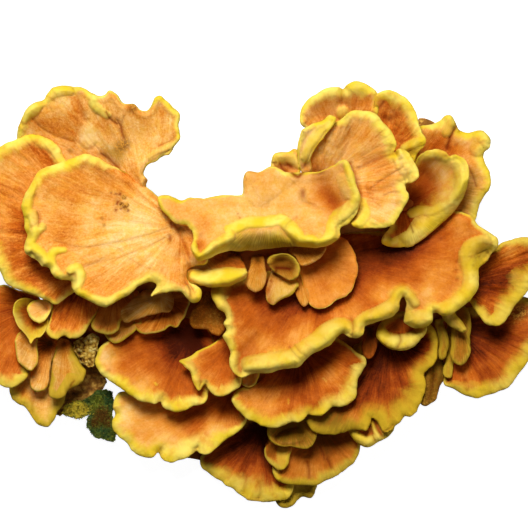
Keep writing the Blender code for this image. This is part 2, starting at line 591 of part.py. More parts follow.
            (221, 481, 26), (226, 486, 27), (233, 488, 27), (238, 493, 27), (245, 498, 27),
            (251, 501, 27), (258, 502, 27), (266, 502, 27), (275, 501, 27), (284, 500, 27),
            (290, 496, 27), (293, 489, 26), (294, 474, 22), (292, 450, 17), (280, 420, 12),
            (250, 414, 12), (224, 430, 16),
        ],
    ),
    "front_tip": dict(
        root=(286, 450, 8), thick=(6, 8), dish=0.8, nose=5,
        rim=[
            (274, 478, 10), (275, 500, 13), (279, 506, 14), (285, 508, 14), (292, 506, 14),
            (298, 500, 14), (302, 497, 14), (311, 498, 14), (315, 492, 14), (318, 484, 13),
            (312, 462, 10), (298, 442, 8), (278, 440, 8),
        ],
    ),
    "old_flesh": dict(
        root=(88, 342, 58), thick=(12, 22), dish=0.7, nose=6,
        rim=[
            (80, 338, 68), (73, 341, 71), (73, 350, 72), (78, 358, 72), (81, 364, 72),
            (88, 368, 72), (95, 367, 72), (98, 359, 70), (98, 348, 68), (101, 337, 65),
            (92, 332, 64),
        ],
    ),
    "bark": dict(
        root=(86, 358, 30), thick=(10, 22), dish=0.8, nose=3,
        rim=[
            (74, 366, 40), (64, 384, 40), (60, 396, 40), (57, 406, 38), (53, 415, 36),
            (60, 417, 36), (74, 408, 37), (86, 404, 37), (95, 397, 36), (104, 390, 36),
            (108, 382, 36), (103, 374, 35), (101, 362, 32), (98, 350, 30), (84, 350, 32),
        ],
    ),
    "moss": dict(
        root=(99, 404, 30), thick=(12, 19), dish=0.6, nose=8,
        rim=[
            (104, 389, 40), (112, 391, 40), (114, 400, 38), (113, 410, 36), (113, 420, 34),
            (117, 433, 32), (114, 441, 31), (107, 441, 31), (99, 438, 31), (92, 434, 31),
            (86, 427, 32), (87, 419, 34), (90, 414, 36), (84, 417, 40), (76, 419, 40),
            (68, 417, 41), (62, 414, 41), (64, 406, 43), (74, 401, 43), (86, 399, 42),
            (96, 391, 41),
        ],
    ),
    "twig": dict(
        root=(427, 132, 84), thick=(6, 6), dish=0.9, nose=3,
        rim=[
            (416, 122, 84), (419, 118, 84), (425, 118, 84), (431, 120, 84), (437, 124, 84),
            (440, 134, 84), (432, 142, 84), (420, 138, 84),
        ],
    ),
}

# Which material each piece has; every other shelf is flesh
MATERIAL_OF = {"bark": "bark", "twig": "bark", "moss": "moss", "base": "cut_flesh"}
MATERIALS = {
    "flesh": ((0.80, 0.36, 0.08), 0.55),
    "cut_flesh": ((0.86, 0.66, 0.32), 0.75),
    "bark": ((0.10, 0.06, 0.04), 0.9),
    "moss": ((0.12, 0.17, 0.04), 0.95),
}


def clear_scene():
    for old in list(bpy.data.objects):
        bpy.data.objects.remove(old)


def make_material(name):
    (red, green, blue), roughness = MATERIALS[name]
    made = bpy.data.materials.get(name) or bpy.data.materials.new(name)
    made.use_nodes = True
    shader = made.node_tree.nodes["Principled BSDF"]
    shader.inputs["Base Color"].default_value = (red, green, blue, 1.0)
    shader.inputs["Roughness"].default_value = roughness
    shader.inputs["Metallic"].default_value = 0.0
    return made


def object_from(name, mesh):
    made = bpy.data.objects.new(name, mesh)
    bpy.context.scene.collection.objects.link(made)
    return made


def margin_distance(points, outline):
    """How far each point is from the closed outline."""
    along = np.roll(outline, -1, axis=0) - outline
    offset = points[:, None] - outline[None]
    share = np.clip((offset * along).sum(2) / (along**2).sum(1), 0.0, 1.0)
    return np.linalg.norm(offset - share[..., None] * along, axis=2).min(1)


def inside(points, outline):
    """Whether each point is within the closed outline."""
    x, y = points[:, 0, None], points[:, 1, None]
    (x0, y0), (x1, y1) = outline.T, np.roll(outline, -1, axis=0).T
    spans = (y0 > y) != (y1 > y)
    rise = np.where(y1 == y0, 1.0, y1 - y0)
    return (spans & (x < x0 + (y - y0) * (x1 - x0) / rise)).sum(1) % 2 == 1


def outward(outline):
    """At each point of the outline, the step that moves both of its sides out by one."""
    side = np.roll(outline, -1, axis=0) - outline
    side /= np.linalg.norm(side, axis=1, keepdims=True)
    normal = np.stack([side[:, 1], -side[:, 0]], axis=1)
    before = np.roll(normal, 1, axis=0)
    cosine = (normal * before).sum(1, keepdims=True)
    step = (normal + before) / np.maximum(1.0 + cosine, MITRE_LEAST)
    x, y = outline.T
    turns_left = (x * np.roll(y, -1) - np.roll(x, -1) * y).sum() > 0
    return step if turns_left else -step


def shelf_heights(spec, points, from_margin):
    """Heights of a shelf's upper and lower faces over each point.

    A shelf rises from its root to its margin. The margin is rounded over the width of its nose,
    and a fourth value on a margin point is the width of the band there that turns down.
    """
    rim, root = spec["rim"], np.array(spec["root"])
    (rim_thick, root_thick), nose = spec["thick"], spec["nose"]
    outline = np.array([margin[:2] for margin in rim])
    near = 1.0 / (((points[:, None] - outline[None]) ** 2).sum(2) + NEAR_SQUARED) ** NEAR_POWER
    near /= near.sum(1, keepdims=True)
    margin_height = near @ np.array([margin[2] for margin in rim])
    fold = near @ np.array([margin[3] if len(margin) > 3 else NO_FOLD for margin in rim])
    from_root = np.linalg.norm(points - root[:2], axis=1)
    reach = from_root / (from_root + from_margin)
    upper = root[2] + (margin_height - root[2]) * reach ** spec["dish"]
    upper -= FOLD_FALL * fold * np.clip(1.0 - from_margin / fold, 0.0, 1.0) ** FOLD_POWER
    depth = root_thick + (rim_thick - root_thick) * reach**TAPER
    round_off = np.sqrt(1.0 - (1.0 - np.clip(from_margin / nose, 0.0, 1.0)) ** 2)
    round_off = np.maximum(round_off, BLUNT)
    middle = upper - rim_thick / 2
    lower = middle - (depth - rim_thick / 2) * round_off
    return middle + rim_thick / 2 * round_off, np.maximum(lower, LOWEST)


def grid_inside(outline, spacing, least):
    """Staggered points within the outline, at least so far from it."""
    (left, low), (right, high) = outline.min(0), outline.max(0)
    rows = enumerate(np.arange(low, high, spacing))
    grid = np.array(
        [(x + spacing / 2 * (i % 2), y) for i, y in rows for x in np.arange(left, right, spacing)]
    )
    grid = grid[inside(grid, outline)]
    return grid[margin_distance(grid, outline) > least]


def shelf_points(spec, outline):
    """Points inside a shelf's outline: one row where the rounded margin ends, and a grid."""
    nose = spec["nose"]
    bands = np.array([max(nose, margin[-1] * (len(margin) > 3)) for margin in spec["rim"]])
    row = outline - outward(outline) * bands[:, None]
    row = row[inside(row, outline)]
    row = row[margin_distance(row, outline) > ROW_SHARE * nose]
    kept = []
    for point in row:
        if all(np.hypot(*(point - other)) > ROW_STEP for other in kept):
            kept.append(point)
    return np.array([*kept, *grid_inside(outline, GRID, bands.max() + GRID / 3)])


def mesh_between(name, outline, interior, heights):
    """A closed mesh over the outline: an upper face, a lower face and the edge between them."""
    boundary = list(range(len(outline)))
    flat = [Vector(point) for point in [*outline, *interior]]
    verts, _, faces, *_ = delaunay_2d_cdt(flat, [], [boundary], 1, 1e-4)
    points = np.array([tuple(vertex) for vertex in verts])
    upper, lower = heights(points, margin_distance(points, outline))
    built = bmesh.new()
    tops = [built.verts.new(place(x, y, z)) for (x, y), z in zip(points, upper)]
    lows = [built.verts.new(place(x, y, z)) for (x, y), z in zip(points, lower)]
    for face in faces:
        built.faces.new([tops[i] for i in face])
        built.faces.new([lows[i] for i in reversed(face)])
    for here, after in zip(boundary, boundary[1:] + boundary[:1]):
        built.faces.new((tops[here], tops[after], lows[after], lows[here]))
    bmesh.ops.dissolve_limit(
        built, angle_limit=math.radians(FLAT_ANGLE), verts=built.verts[:], edges=built.edges[:]
    )
    bmesh.ops.triangulate(built, faces=built.faces[:])
    bmesh.ops.recalc_face_normals(built, faces=built.faces[:])
    if built.calc_volume(signed=True) < 0:
        bmesh.ops.reverse_faces(built, faces=built.faces[:])
    mesh = bpy.data.meshes.new(name)
    built.to_mesh(mesh)
    built.free()
    return mesh


def shelf_mesh(name, spec):
    outline = np.array([margin[:2] for margin in spec["rim"]], float)

    def heights(points, from_margin):
        return shelf_heights(spec, points, from_margin)

    return mesh_between(name, outline, shelf_points(spec, outline), heights)


def cover(points):
    """Height of the uppermost shelf over each point, or infinity where there is none."""
    highest = np.full(len(points), -np.inf)
    for spec in SHELVES.values():
        outline = np.array([margin[:2] for margin in spec["rim"]], float)
        under = inside(points, outline)
        if under.any():
            upper, _ = shelf_heights(spec, points[under], margin_distance(points[under], outline))
            highest[under] = np.maximum(highest[under], upper)
    return np.where(np.isfinite(highest), highest, np.inf)


def base_heights(points, from_margin):
    """The humps run together over a flat foot, kept below the shelves that hide them."""
    total = 0.0
    for x, y, wide, deep, high in MOUNDS:
        off = ((points[:, 0] - x) / wide) ** 2 + ((points[:, 1] - y) / deep) ** 2
        total = total + (high * np.sqrt(np.clip(1.0 - off, 0.0, 1.0))) ** HUMP_BLEND
    hill = BASE_LEAST + total ** (1.0 / HUMP_BLEND)
    foot = np.sqrt(1.0 - (1.0 - np.clip(from_margin / BASE_MARGIN, 0.0, 1.0)) ** 2)
    hill *= np.maximum(foot, BASE_BLUNT)
    turns = np.arange(ROUND_STEPS) * math.tau / ROUND_STEPS
    around = np.stack([np.cos(turns), np.sin(turns)], axis=1)
    near = [points, *(points + BASE_GRID / 2 * step for step in around)]
    ceiling = np.min([cover(spot) for spot in near], axis=0) - BASE_COVER
    return np.minimum(hill, np.maximum(ceiling, BASE_LEAST)), 0.0 * hill


def base_mesh():
    outline = np.array(CUT_OUTLINE, float)
    grid = grid_inside(outline, BASE_GRID, BASE_GRID / 3)
    return mesh_between("base", outline, grid, base_heights)


def swollen(name, mesh, by):
    """A copy of the mesh with its surface moved outwards."""
    built = bmesh.new()
    built.from_mesh(mesh)
    built.normal_update()
    steps = [vertex.normal * min(vertex.calc_shell_factor(), SWELL_MOST) for vertex in built.verts]
    for vertex, step in zip(built.verts, steps):
        vertex.co += step * by
    copy = bpy.data.meshes.new(name)
    built.to_mesh(copy)
    built.free()
    return copy


def hide(helper):
    helper.hide_render = True
    helper.display_type = "WIRE"
    return helper


def combine(target, other, operation):
    step = target.modifiers.new(operation.lower(), "BOOLEAN")
    step.operation = operation
    step.solver = "EXACT"
    step.object = other


def bake_modifiers(target):
    """Replaces the object's mesh with what its modifiers make of it."""
    graph = bpy.context.evaluated_depsgraph_get()
    mesh = bpy.data.meshes.new_from_object(target.evaluated_get(graph))
    target.modifiers.clear()
    target.data = mesh


def keep_largest_island(mesh):
    """Drops the scraps that a cut leaves beyond the piece that holds most of the mesh."""
    built = bmesh.new()
    built.from_mesh(mesh)
    islands, seen = [], set()
    for start in built.verts:
        if start in seen:
            continue
        island, waiting = [], [start]
        seen.add(start)
        while waiting:
            vertex = waiting.pop()
            island.append(vertex)
            for edge in vertex.link_edges:
                other = edge.other_vert(vertex)
                if other not in seen:
                    seen.add(other)
                    waiting.append(other)
        islands.append(island)
    islands.sort(key=len)
    scraps = [vertex for island in islands[:-1] for vertex in island]
    bmesh.ops.delete(built, geom=scraps, context="VERTS")
    built.to_mesh(mesh)
    built.free()


def box_of(item):
    points = [item.matrix_world @ Vector(corner) for corner in item.bound_box]
    low = Vector(min(p[i] for p in points) for i in range(3))
    high = Vector(max(p[i] for p in points) for i in range(3))
    return low, high


def boxes_meet(a, b):
    (low_a, high_a), (low_b, high_b) = box_of(a), box_of(b)
    return all(low_a[i] < high_b[i] and low_b[i] < high_a[i] for i in range(3))


def make_cutter(item, mesh):
    return hide(object_from(item.name + "_cutter", swollen(item.name, mesh, GAP * MM)))


def make_shelves(base):
    """Each shelf, cut back where it meets the base and the shelves over it."""
    shelves, cutters = [], [make_cutter(base, base.data)]
    for name, spec in SHELVES.items():
        whole = shelf_mesh(name, spec)
        shelf = object_from(name, whole)
        bpy.context.view_layer.update()
        for cutter in cutters:
            if boxes_meet(shelf, cutter):
                combine(shelf, cutter, "DIFFERENCE")
        bpy.context.view_layer.update()
        bake_modifiers(shelf)
        keep_largest_island(shelf.data)
        shelves.append(shelf)
        cutters.append(make_cutter(shelf, whole))
    for cutter in cutters:
        bpy.data.objects.remove(cutter)
    return shelves


def finish(item):
    item.data.materials.clear()
    item.data.materials.append(make_material(MATERIAL_OF.get(item.name, "flesh")))
    item.data.shade_smooth()
    item.data.set_sharp_from_angle(angle=math.radians(SHARP_ANGLE))


def main():
    clear_scene()
    base = object_from("base", base_mesh())
    for item in [base, *make_shelves(base)]:
        finish(item)


main()
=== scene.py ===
"""Looks of the chicken of the woods: a cluster of overlapping shelves on one fleshy base.

Every shelf is built again here as a fine surface on the outline and heights that its solid has.
Sheet coordinates are millimetres right of and below the corner of a layout sheet, as an eye
EYE_HEIGHT above the cut face sees them, so the camera stands at that eye.
"""

import math

import bpy
import numpy as np
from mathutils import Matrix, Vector
from mathutils.bvhtree import BVHTree
from mathutils.geometry import delaunay_2d_cdt
from mathutils.noise import fractal


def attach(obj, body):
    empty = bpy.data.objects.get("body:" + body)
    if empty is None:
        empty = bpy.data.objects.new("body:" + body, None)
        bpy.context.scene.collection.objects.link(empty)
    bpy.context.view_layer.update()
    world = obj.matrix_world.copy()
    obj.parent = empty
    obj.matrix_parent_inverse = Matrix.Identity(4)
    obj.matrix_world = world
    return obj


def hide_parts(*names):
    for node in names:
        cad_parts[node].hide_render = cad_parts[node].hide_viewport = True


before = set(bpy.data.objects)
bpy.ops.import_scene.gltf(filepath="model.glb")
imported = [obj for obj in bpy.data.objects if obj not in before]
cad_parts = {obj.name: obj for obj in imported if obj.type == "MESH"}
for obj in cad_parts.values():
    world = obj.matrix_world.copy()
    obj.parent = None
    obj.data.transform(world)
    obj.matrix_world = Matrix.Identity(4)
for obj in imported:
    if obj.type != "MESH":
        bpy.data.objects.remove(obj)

MM = 0.001
SHEET_ORIGIN = (270.0, 300.0)  # the sheet point over the part's origin
SHEET_EYE = (264.0, 264.0)  # the sheet point under the eye
EYE_HEIGHT = 2080.0
SHEET_HEIGHT = 100.0  # where a millimetre on the sheet is a true millimetre
SHEET_SIDE = 528.0  # the picture shows this much of the sheet

# Spacing of the surface points, in mm
STEP = 1.4  # on an upper face and along the margin
UNDER_STEP = 4.5  # on a lower face
EDGE_ROWS = (0.25, 0.8, 1.7)  # rows that round the margin, by distance from it
FINE_WIDTH = 2.4  # creases up to this wide have rows of points of their own
FINE_STEP = 0.8  # spacing along such a row
FINE_ROWS = (-1.3, -0.6, 0.0, 0.6, 1.3)  # how far from the crease they lie, in widths of the crease
FINE_CLEAR = 1.9  # other points stay so many widths away
ROW_SPACING = 0.87  # between staggered rows, as a share of the spacing along them
SIDE_CLEAR = 0.93  # a row's point is kept at this share or more of its inset from the margin
FINE_MARGIN, GRID_MARGIN = 0.3, 0.6 * STEP  # further points keep this far from the innermost row
BLOCK = 2000  # points worked on at a time

# Form of every shelf, in mm
NO_FOLD = 0.01  # the width of the turned-down margin where there is none
FOLD_FALL = 1.15  # how far a turned-down margin falls, for each millimetre of its width
FOLD_POWER = 1.8  # and how it steepens on the way
TAPER = 0.7  # how a shelf thins from its root to its margin
LOWEST = 1.0  # lower faces stay at least this high above the cut face
FIRST_SEED, SEED_STEP = 3, 17  # of the noise, from shelf to shelf
WOBBLES = ((8.0, 0.7), (3.2, 0.4))  # irregularities of the outline, as (length, width)
WOBBLE_START = 10.0  # they fade out this near to the ends of the outline
LOBE_REACH = 9.0  # how far along the margin its course is averaged, to tell lobes from hollows

# Relief of every shelf, in mm unless it says otherwise
RELIEF_RISE = 1.4  # folds rise and creases sink this many times what their tables say
CREASE_SHARES = (0.55, 0.45)  # strength of a crease and of its soft sides
CREASE_SPREAD = 2.8  # width of the soft sides, for each millimetre of the crease's own width
SWELLS = ((34.0, 1.0, 0), (14.0, 0.45, 2))  # (size, share, seed)
FURROWS = ((22.0, 45.0, 1.0, 3), (55.0, 30.0, 0.6, 4))  # (number to a radian, length, share, seed)
FURROW_START = 25.0  # furrows reach their full depth this far from the root
PUFF_LENGTH = 12.0  # of the margin's swellings
PUFF_MEAN, PUFF_SWING, PUFF_RANGE = 0.9, 0.7, (0.2, 2.0)  # their heights, as shares of bead
CREST_PLACE, CREST_WIDTH = 0.75, 0.5  # of the puffed margin, as shares of its rounding
PLEAT_WIDTH, PLEAT_LENGTH, PLEAT_SWAY = 6.0, 22.0, 0.5
RUFFLE_REACH, PLEAT_REACH, EDGE_REACH = 11.0, 10.0, 3.0  # from the margin inwards

# Patterns in the flesh: streaks that run from the root, and short ones in the margin
STREAKS, STREAK_LENGTH = 26.0, 24.0  # to a radian, and mm
LANE_WIDTH, LANE_LENGTH = 5.0, 16.0
RIM_BELOW = 0.4  # how much of the underside's look the rim itself has
TONE_PLACES = (0.15, 0.55, 0.9)  # where each of the three tones holds, from root to margin
SPOT_BLUR = 3.0  # a value given at a spot is even over this many millimetres

# The rough pieces and the moss
FLAT_HEIGHT = 0.5 * MM  # the base's cut face lies below this and stays flat
WELD = 0.01 * MM  # corners of a solid this close are one
WEAR_MEAN, WEAR_SWING = 0.5, 0.6  # as shares of how deep a piece is worn
WEAR_LUMPS = (0.8, 2.0, 4)  # (smoothness, how much finer each layer of lumps is, layers)
LEAVES = 8000
LEAF_LIMIT = -0.3  # none grow where the ground faces further down than this
LEAF_LENGTH = (1.4 * MM, 3.0 * MM)
LEAF_SHARE = 0.45  # width of a leaf, for each millimetre of its length
LEAF_UPRIGHT, LEAF_LEAN = 0.8, 0.7  # how upright and how unevenly the leaves stand
# Corners of a leaf, as shares of its length ahead, of its width aside and of its length down
LEAF_CORNERS = ((0.0, -0.3, 0.0), (0.0, 0.3, 0.0), (0.55, 0.5, 0.0), (0.55, -0.5, 0.0), (1.0, 0.0, 0.2))
LEAF_FACES = ((0, 1, 2), (0, 2, 3), (3, 2, 4))
LEAF_HUES = 0.2  # how much the leaves differ in colour
# Moss painted yellow where light falls on it, as painted light, and moss that has wilted, as (x, y,
# radius, strength)
LIT_MOSS = ((66, 410, 9, 0.9), (78, 408, 9, 0.8), (88, 410, 6, 0.5), (80, 417, 6, 0.5))
WILTED_MOSS = ((102, 414, 9, 0.9), (94, 424, 6, 0.6), (108, 424, 6, 0.5))

# The studio, in metres, watts and strengths
FLOOR_HALF = 4.0
FLOOR_HEIGHT = -0.3 * MM  # clear of the cut face
FLOOR_SHADE, FLOOR_GLOW = 0.4, 0.95
LAMPS = (  # (name, place, side, power)
    ("key", (-0.2, 1.15, 2.1), 0.8, 66.0),
    ("fill", (0.5, -0.9, 1.9), 1.6, 3.0),
    ("low_left", (-1.3, 0.5, 0.22), 0.8, 4.5),
    ("low_right", (1.3, -0.4, 0.22), 0.8, 4.5),
)
SKY_LOW, SKY_HIGH = (-0.3, 0.2), (1.0, 0.3)  # (height of the direction, strength of its light)

# Each shelf's root and its rim, as (x, y, z) on the layout sheet, where a fourth number is how wide
# the margin is turned down. thick is at the rim and at the root, dish bends the surface between
# them, and nose is how far in the margin is rounded.
SHELVES = {
    "centre_top": dict(
        root=(268, 208, 122), thick=(13, 48), dish=1.0, nose=8,
        rim=[
            (286, 172, 132), (272, 166, 130), (258, 172, 129), (247, 172, 129), (243, 181, 128),
            (242, 194, 127), (225, 195, 127), (205, 198, 127), (190, 198, 128), (181, 200, 128),
            (167, 195, 130), (158, 197, 131), (160, 207, 133), (167, 216, 134), (177, 224, 134),
            (187, 226, 135), (193, 235, 138), (191, 248, 142), (198, 261, 145, 8), (207, 259, 147, 12),
            (218, 254, 148, 14), (230, 251, 149, 16), (245, 251, 151, 24), (270, 249, 152, 26),
            (286, 247, 152, 18), (300, 247, 152, 12), (315, 248, 152, 10), (330, 245, 151, 8),
            (339, 237, 150), (341, 228, 149), (350, 223, 150), (357, 212, 152), (361, 198, 155),
            (357, 186, 158), (352, 170, 160), (345, 160, 159), (335, 164, 150), (320, 171, 140),
            (302, 172, 134),
        ],
    ),
    "right_fold": dict(
        root=(306, 168, 118), thick=(7, 22), dish=1.0, nose=5,
        rim=[
            (298, 160, 128), (297, 150, 133), (299, 138, 137), (302, 130, 139), (312, 124, 141),
            (322, 121, 142), (330, 115, 144), (336, 118, 145), (333, 126, 144), (326, 134, 142),
            (318, 145, 139), (311, 158, 132), (312, 171, 118), (302, 173, 118),
        ],
    ),
    "centre_back": dict(
        root=(288, 180, 112), thick=(8, 22), dish=1.3, nose=6,
        rim=[
            (277, 173, 117), (271, 169, 118), (271, 161, 120), (274, 154, 121), (281, 152, 122),
            (288, 152, 122), (294, 149, 122), (299, 152, 121), (300, 161, 119), (300, 172, 117),
            (298, 186, 114), (280, 188, 114),
        ],
    ),
    "right_fan": dict(
        root=(318, 186, 100), thick=(11, 38), dish=0.75, nose=9,
        rim=[
            (308, 160, 122), (320, 138, 132), (330, 127, 136), (340, 119, 139), (352, 111, 141),
            (362, 110, 142), (372, 112, 143), (380, 118, 144), (387, 126, 144), (393, 134, 144),
            (397, 144, 144), (394, 152, 140), (400, 149, 144), (407, 151, 146), (413, 160, 147),
            (418, 170, 148), (419, 177, 148), (413, 182, 146), (406, 184, 142), (406, 189, 143),
            (409, 197, 146), (406, 204, 147), (400, 214, 147), (393, 225, 146), (384, 228, 146),
            (370, 228, 145), (358, 228, 144), (351, 224, 142), (347, 212, 134), (332, 205, 116),
            (326, 198, 100), (304, 185, 100),
        ],
    ),
    "right_crown": dict(
        root=(345, 158, 84), thick=(12, 32), dish=1.3, nose=10,
        rim=[
            (316, 132, 112), (308, 129, 115), (301, 124, 117), (300, 117, 119), (302, 108, 120),
            (306, 101, 121), (312, 96, 122), (320, 91, 123), (330, 87, 124), (339, 87, 124),
            (343, 89, 121), (347, 85, 124), (354, 81, 125), (362, 82, 125), (370, 86, 124),
            (377, 92, 122), (379, 104, 118), (376, 122, 110), (366, 145, 96), (359, 162, 84),
            (334, 167, 84),
        ],
    ),
    "right_hollow": dict(
        root=(374, 168, 92), thick=(12, 29), dish=2.0, nose=11,
        rim=[
            (374, 104, 120), (377, 94, 123), (388, 90, 125), (398, 93, 126), (406, 98, 127),
            (412, 105, 128), (416, 113, 128), (419, 124, 129), (422, 132, 130), (426, 139, 131),
            (424, 146, 130), (418, 153, 126), (414, 162, 119), (400, 172, 105), (384, 180, 94),
            (366, 174, 92), (372, 140, 104), (370, 120, 112),
        ],
    ),
    "right_cup": dict(
        root=(402, 206, 84), thick=(11, 26), dish=1.9, nose=9,
        rim=[
            (414, 164, 116), (418, 157, 120), (427, 150, 123), (437, 149, 125), (446, 152, 126),
            (450, 156, 125), (456, 154, 127), (463, 158, 128), (468, 165, 129), (469, 176, 129),
            (467, 187, 130, 8), (463, 198, 131, 14), (457, 208, 132, 19), (449, 217, 132, 22),
            (438, 227, 132, 24), (425, 238, 131, 26), (412, 246, 130, 27), (399, 248, 128, 24),
            (390, 247, 126, 20), (382, 243, 124, 12), (383, 236, 118), (390, 226, 104), (392, 190, 98),
        ],
    ),
    "right_back": dict(
        root=(398, 188, 70), thick=(11, 29), dish=0.9, nose=10,
        rim=[
            (412, 140, 88), (420, 127, 95), (432, 124, 98), (440, 120, 100), (446, 115, 102),
            (451, 115, 103), (455, 121, 101), (460, 130, 99), (467, 133, 101), (475, 131, 103),
            (484, 131, 104), (490, 138, 105), (490, 147, 104), (484, 154, 101), (485, 163, 100),
            (490, 173, 101), (491, 184, 101), (486, 194, 98), (480, 203, 96), (477, 214, 93),
            (474, 222, 90), (455, 218, 84), (425, 210, 76), (400, 208, 70), (381, 178, 70),
        ],
    ),
    "left_large": dict(
        root=(180, 228, 112), thick=(12, 40), dish=0.7, nose=9,
        rim=[
            (120, 169, 112), (107, 163, 121), (97, 157, 125), (88, 154, 127), (78, 156, 127),
            (67, 160, 127), (56, 164, 127), (46, 167, 127), (37, 173, 127), (31, 184, 126),
            (24, 196, 125), (21, 207, 125), (24, 217, 127), (25, 228, 128), (28, 235, 126),
            (25, 243, 127), (25, 251, 128), (30, 257, 128), (37, 261, 130), (42, 266, 131),
            (49, 268, 132), (52, 274, 133), (58, 279, 134), (65, 280, 133), (71, 281, 130),
            (73, 290, 132), (80, 297, 134), (90, 301, 136), (97, 305, 137), (104, 307, 137),
            (111, 305, 137), (120, 299, 136), (130, 294, 134), (138, 287, 130), (148, 282, 127),
            (156, 285, 127), (151, 296, 130), (159, 294, 130), (170, 292, 130), (181, 292, 129),
            (187, 298, 129), (193, 303, 129), (199, 301, 128), (202, 292, 126), (198, 286, 124),
            (190, 283, 122), (187, 277, 121), (188, 270, 121), (195, 266, 121), (206, 263, 121),
            (208, 250, 121), (202, 230, 120), (184, 212, 118), (160, 198, 114), (146, 186, 112),
            (134, 177, 110),
        ],
    ),
    "left_upper": dict(
        root=(152, 212, 88), thick=(10, 24), dish=0.8, nose=6,
        rim=[
            (62, 176, 88), (40, 160, 90), (22, 150, 93), (17, 139, 99), (18, 128, 106), (22, 118, 112),
            (27, 108, 114), (35, 102, 115), (43, 100, 115), (47, 94, 116), (52, 88, 117), (61, 85, 118),
            (71, 86, 119), (81, 87, 120), (91, 92, 122), (98, 96, 124), (104, 95, 125), (110, 90, 126),
            (117, 94, 126), (124, 103, 126), (134, 104, 127), (140, 110, 127), (146, 111, 127),
            (152, 105, 129), (155, 98, 130), (160, 96, 131), (166, 100, 131), (173, 107, 131),
            (180, 114, 131), (179, 126, 130), (180, 138, 128), (175, 146, 126), (170, 154, 125),
            (162, 157, 124), (156, 162, 122), (150, 164, 121), (146, 168, 119), (144, 174, 117),
            (148, 180, 115), (146, 185, 112), (152, 195, 106), (179, 210, 92), (154, 230, 90),
            (120, 215, 92),
        ],
    ),
    "left_outer": dict(
        root=(116, 240, 76), thick=(12, 32), dish=0.8, nose=10,
        rim=[
            (78, 176, 98), (66, 160, 100), (60, 148, 102), (52, 141, 103), (42, 136, 104), (33, 133, 104),
            (25, 134, 104), (17, 139, 104), (9, 142, 105), (-2, 148, 105), (-14, 158, 105),
            (-23, 174, 105), (-27, 196, 105), (-26, 218, 105), (-20, 238, 105), (-10, 257, 105),
            (0, 272, 105), (5, 281, 104), (11, 287, 103), (20, 290, 102), (34, 295, 101), (46, 300, 99),
            (55, 305, 96), (70, 295, 86), (100, 280, 76), (117, 267, 76), (137, 223, 76),
        ],
    ),
    "centre_lip": dict(
        root=(192, 246, 90), thick=(15, 29), dish=0.8, nose=10,
        rim=[
            (184, 262, 108), (186, 272, 115), (187, 280, 118), (194, 285, 120), (203, 286, 122),
            (212, 288, 123), (223, 287, 124), (235, 284, 124), (244, 279, 124), (248, 274, 123),
            (246, 268, 121), (238, 256, 113), (222, 244, 104), (205, 236, 96), (196, 237, 90),
            (183, 248, 90),
        ],
    ),
    "centre_disc": dict(
        root=(306, 256, 92), thick=(5, 22), dish=0.8, nose=4,
        rim=[
            (322, 240, 98), (336, 236, 98), (346, 239, 101), (351, 246, 103), (355, 253, 105),
            (357, 262, 106), (358, 270, 107), (356, 280, 108), (352, 290, 109), (346, 297, 109),
            (337, 300, 109), (330, 306, 110), (322, 309, 110), (314, 308, 109), (309, 304, 107),
            (304, 292, 101), (301, 278, 99), (298, 264, 94),
        ],
    ),
    "centre_frill": dict(
        root=(296, 244, 104), thick=(6, 22), dish=0.8, nose=4,
        rim=[
            (314, 240, 115), (326, 247, 122), (323, 255, 123), (316, 261, 123), (308, 265, 122),
            (301, 266, 121), (296, 258, 116), (289, 252, 107), (287, 241, 104), (300, 236, 106),
        ],
    ),
    "centre_curl": dict(
        root=(281, 262, 104), thick=(8, 19), dish=1.8, nose=6,
        rim=[
            (267, 262, 114), (270, 256, 117), (278, 254, 119), (287, 254, 120), (294, 257, 121),
            (299, 264, 121), (300, 272, 121), (296, 278, 120), (290, 281, 119), (281, 276, 115),
            (272, 270, 112),
        ],
    ),
    "centre_knob": dict(
        root=(258, 260, 100), thick=(9, 21), dish=0.7, nose=8,
        rim=[
            (250, 266, 108), (247, 275, 112), (246, 284, 115), (250, 290, 116), (256, 292, 116),
            (262, 289, 115), (266, 282, 113), (267, 274, 110), (265, 265, 106), (263, 256, 100),
            (253, 256, 100),
        ],
    ),
    "centre_leaf": dict(
        root=(279, 268, 92), thick=(8, 19), dish=0.7, nose=6,
        rim=[
            (270, 276, 100), (267, 284, 104), (266, 293, 107), (267, 301, 109), (273, 305, 110),
            (281, 300, 111), (290, 296, 111), (296, 290, 111), (299, 285, 110), (295, 279, 106),
            (289, 273, 100), (284, 264, 92), (274, 264, 92),
        ],
    ),
    "centre_bud": dict(
        root=(300, 278, 92), thick=(8, 11), dish=0.8, nose=6,
        rim=[
            (295, 286, 100), (296, 296, 105), (300, 304, 108), (304, 307, 109), (308, 304, 108),
            (310, 297, 105), (308, 288, 101), (304, 280, 96), (305, 275, 92), (295, 274, 92),
        ],
    ),
    "middle": dict(
        root=(322, 255, 80), thick=(13, 35), dish=0.85, nose=9,
        rim=[
            (222, 276, 90), (214, 284, 95), (211, 292, 99), (213, 301, 102), (218, 309, 104),
            (224, 313, 104), (226, 318, 103), (223, 324, 104), (226, 330, 103), (223, 336, 105),
            (226, 343, 106), (230, 351, 107), (229, 360, 109), (231, 369, 110), (236, 375, 111),
            (242, 378, 111), (250, 374, 111), (262, 373, 112), (272, 373, 112), (281, 370, 112),
            (290, 369, 112), (299, 367, 112), (305, 361, 111), (312, 354, 110), (321, 350, 110),
            (331, 345, 109), (338, 336, 107), (343, 333, 106), (349, 337, 108), (357, 338, 109),
            (363, 334, 109), (365, 326, 108), (373, 323, 109), (384, 320, 110), (393, 316, 110),
            (399, 309, 110), (400, 301, 109), (403, 297, 108), (406, 303, 106), (405, 313, 102),
            (404, 322, 100), (411, 327, 101), (420, 328, 102), (428, 326, 103), (433, 320, 103),
            (433, 313, 103), (437, 313, 105), (443, 316, 107), (450, 315, 107), (458, 310, 106),
            (466, 304, 105), (473, 297, 104), (478, 288, 102), (479, 278, 100), (479, 268, 98),
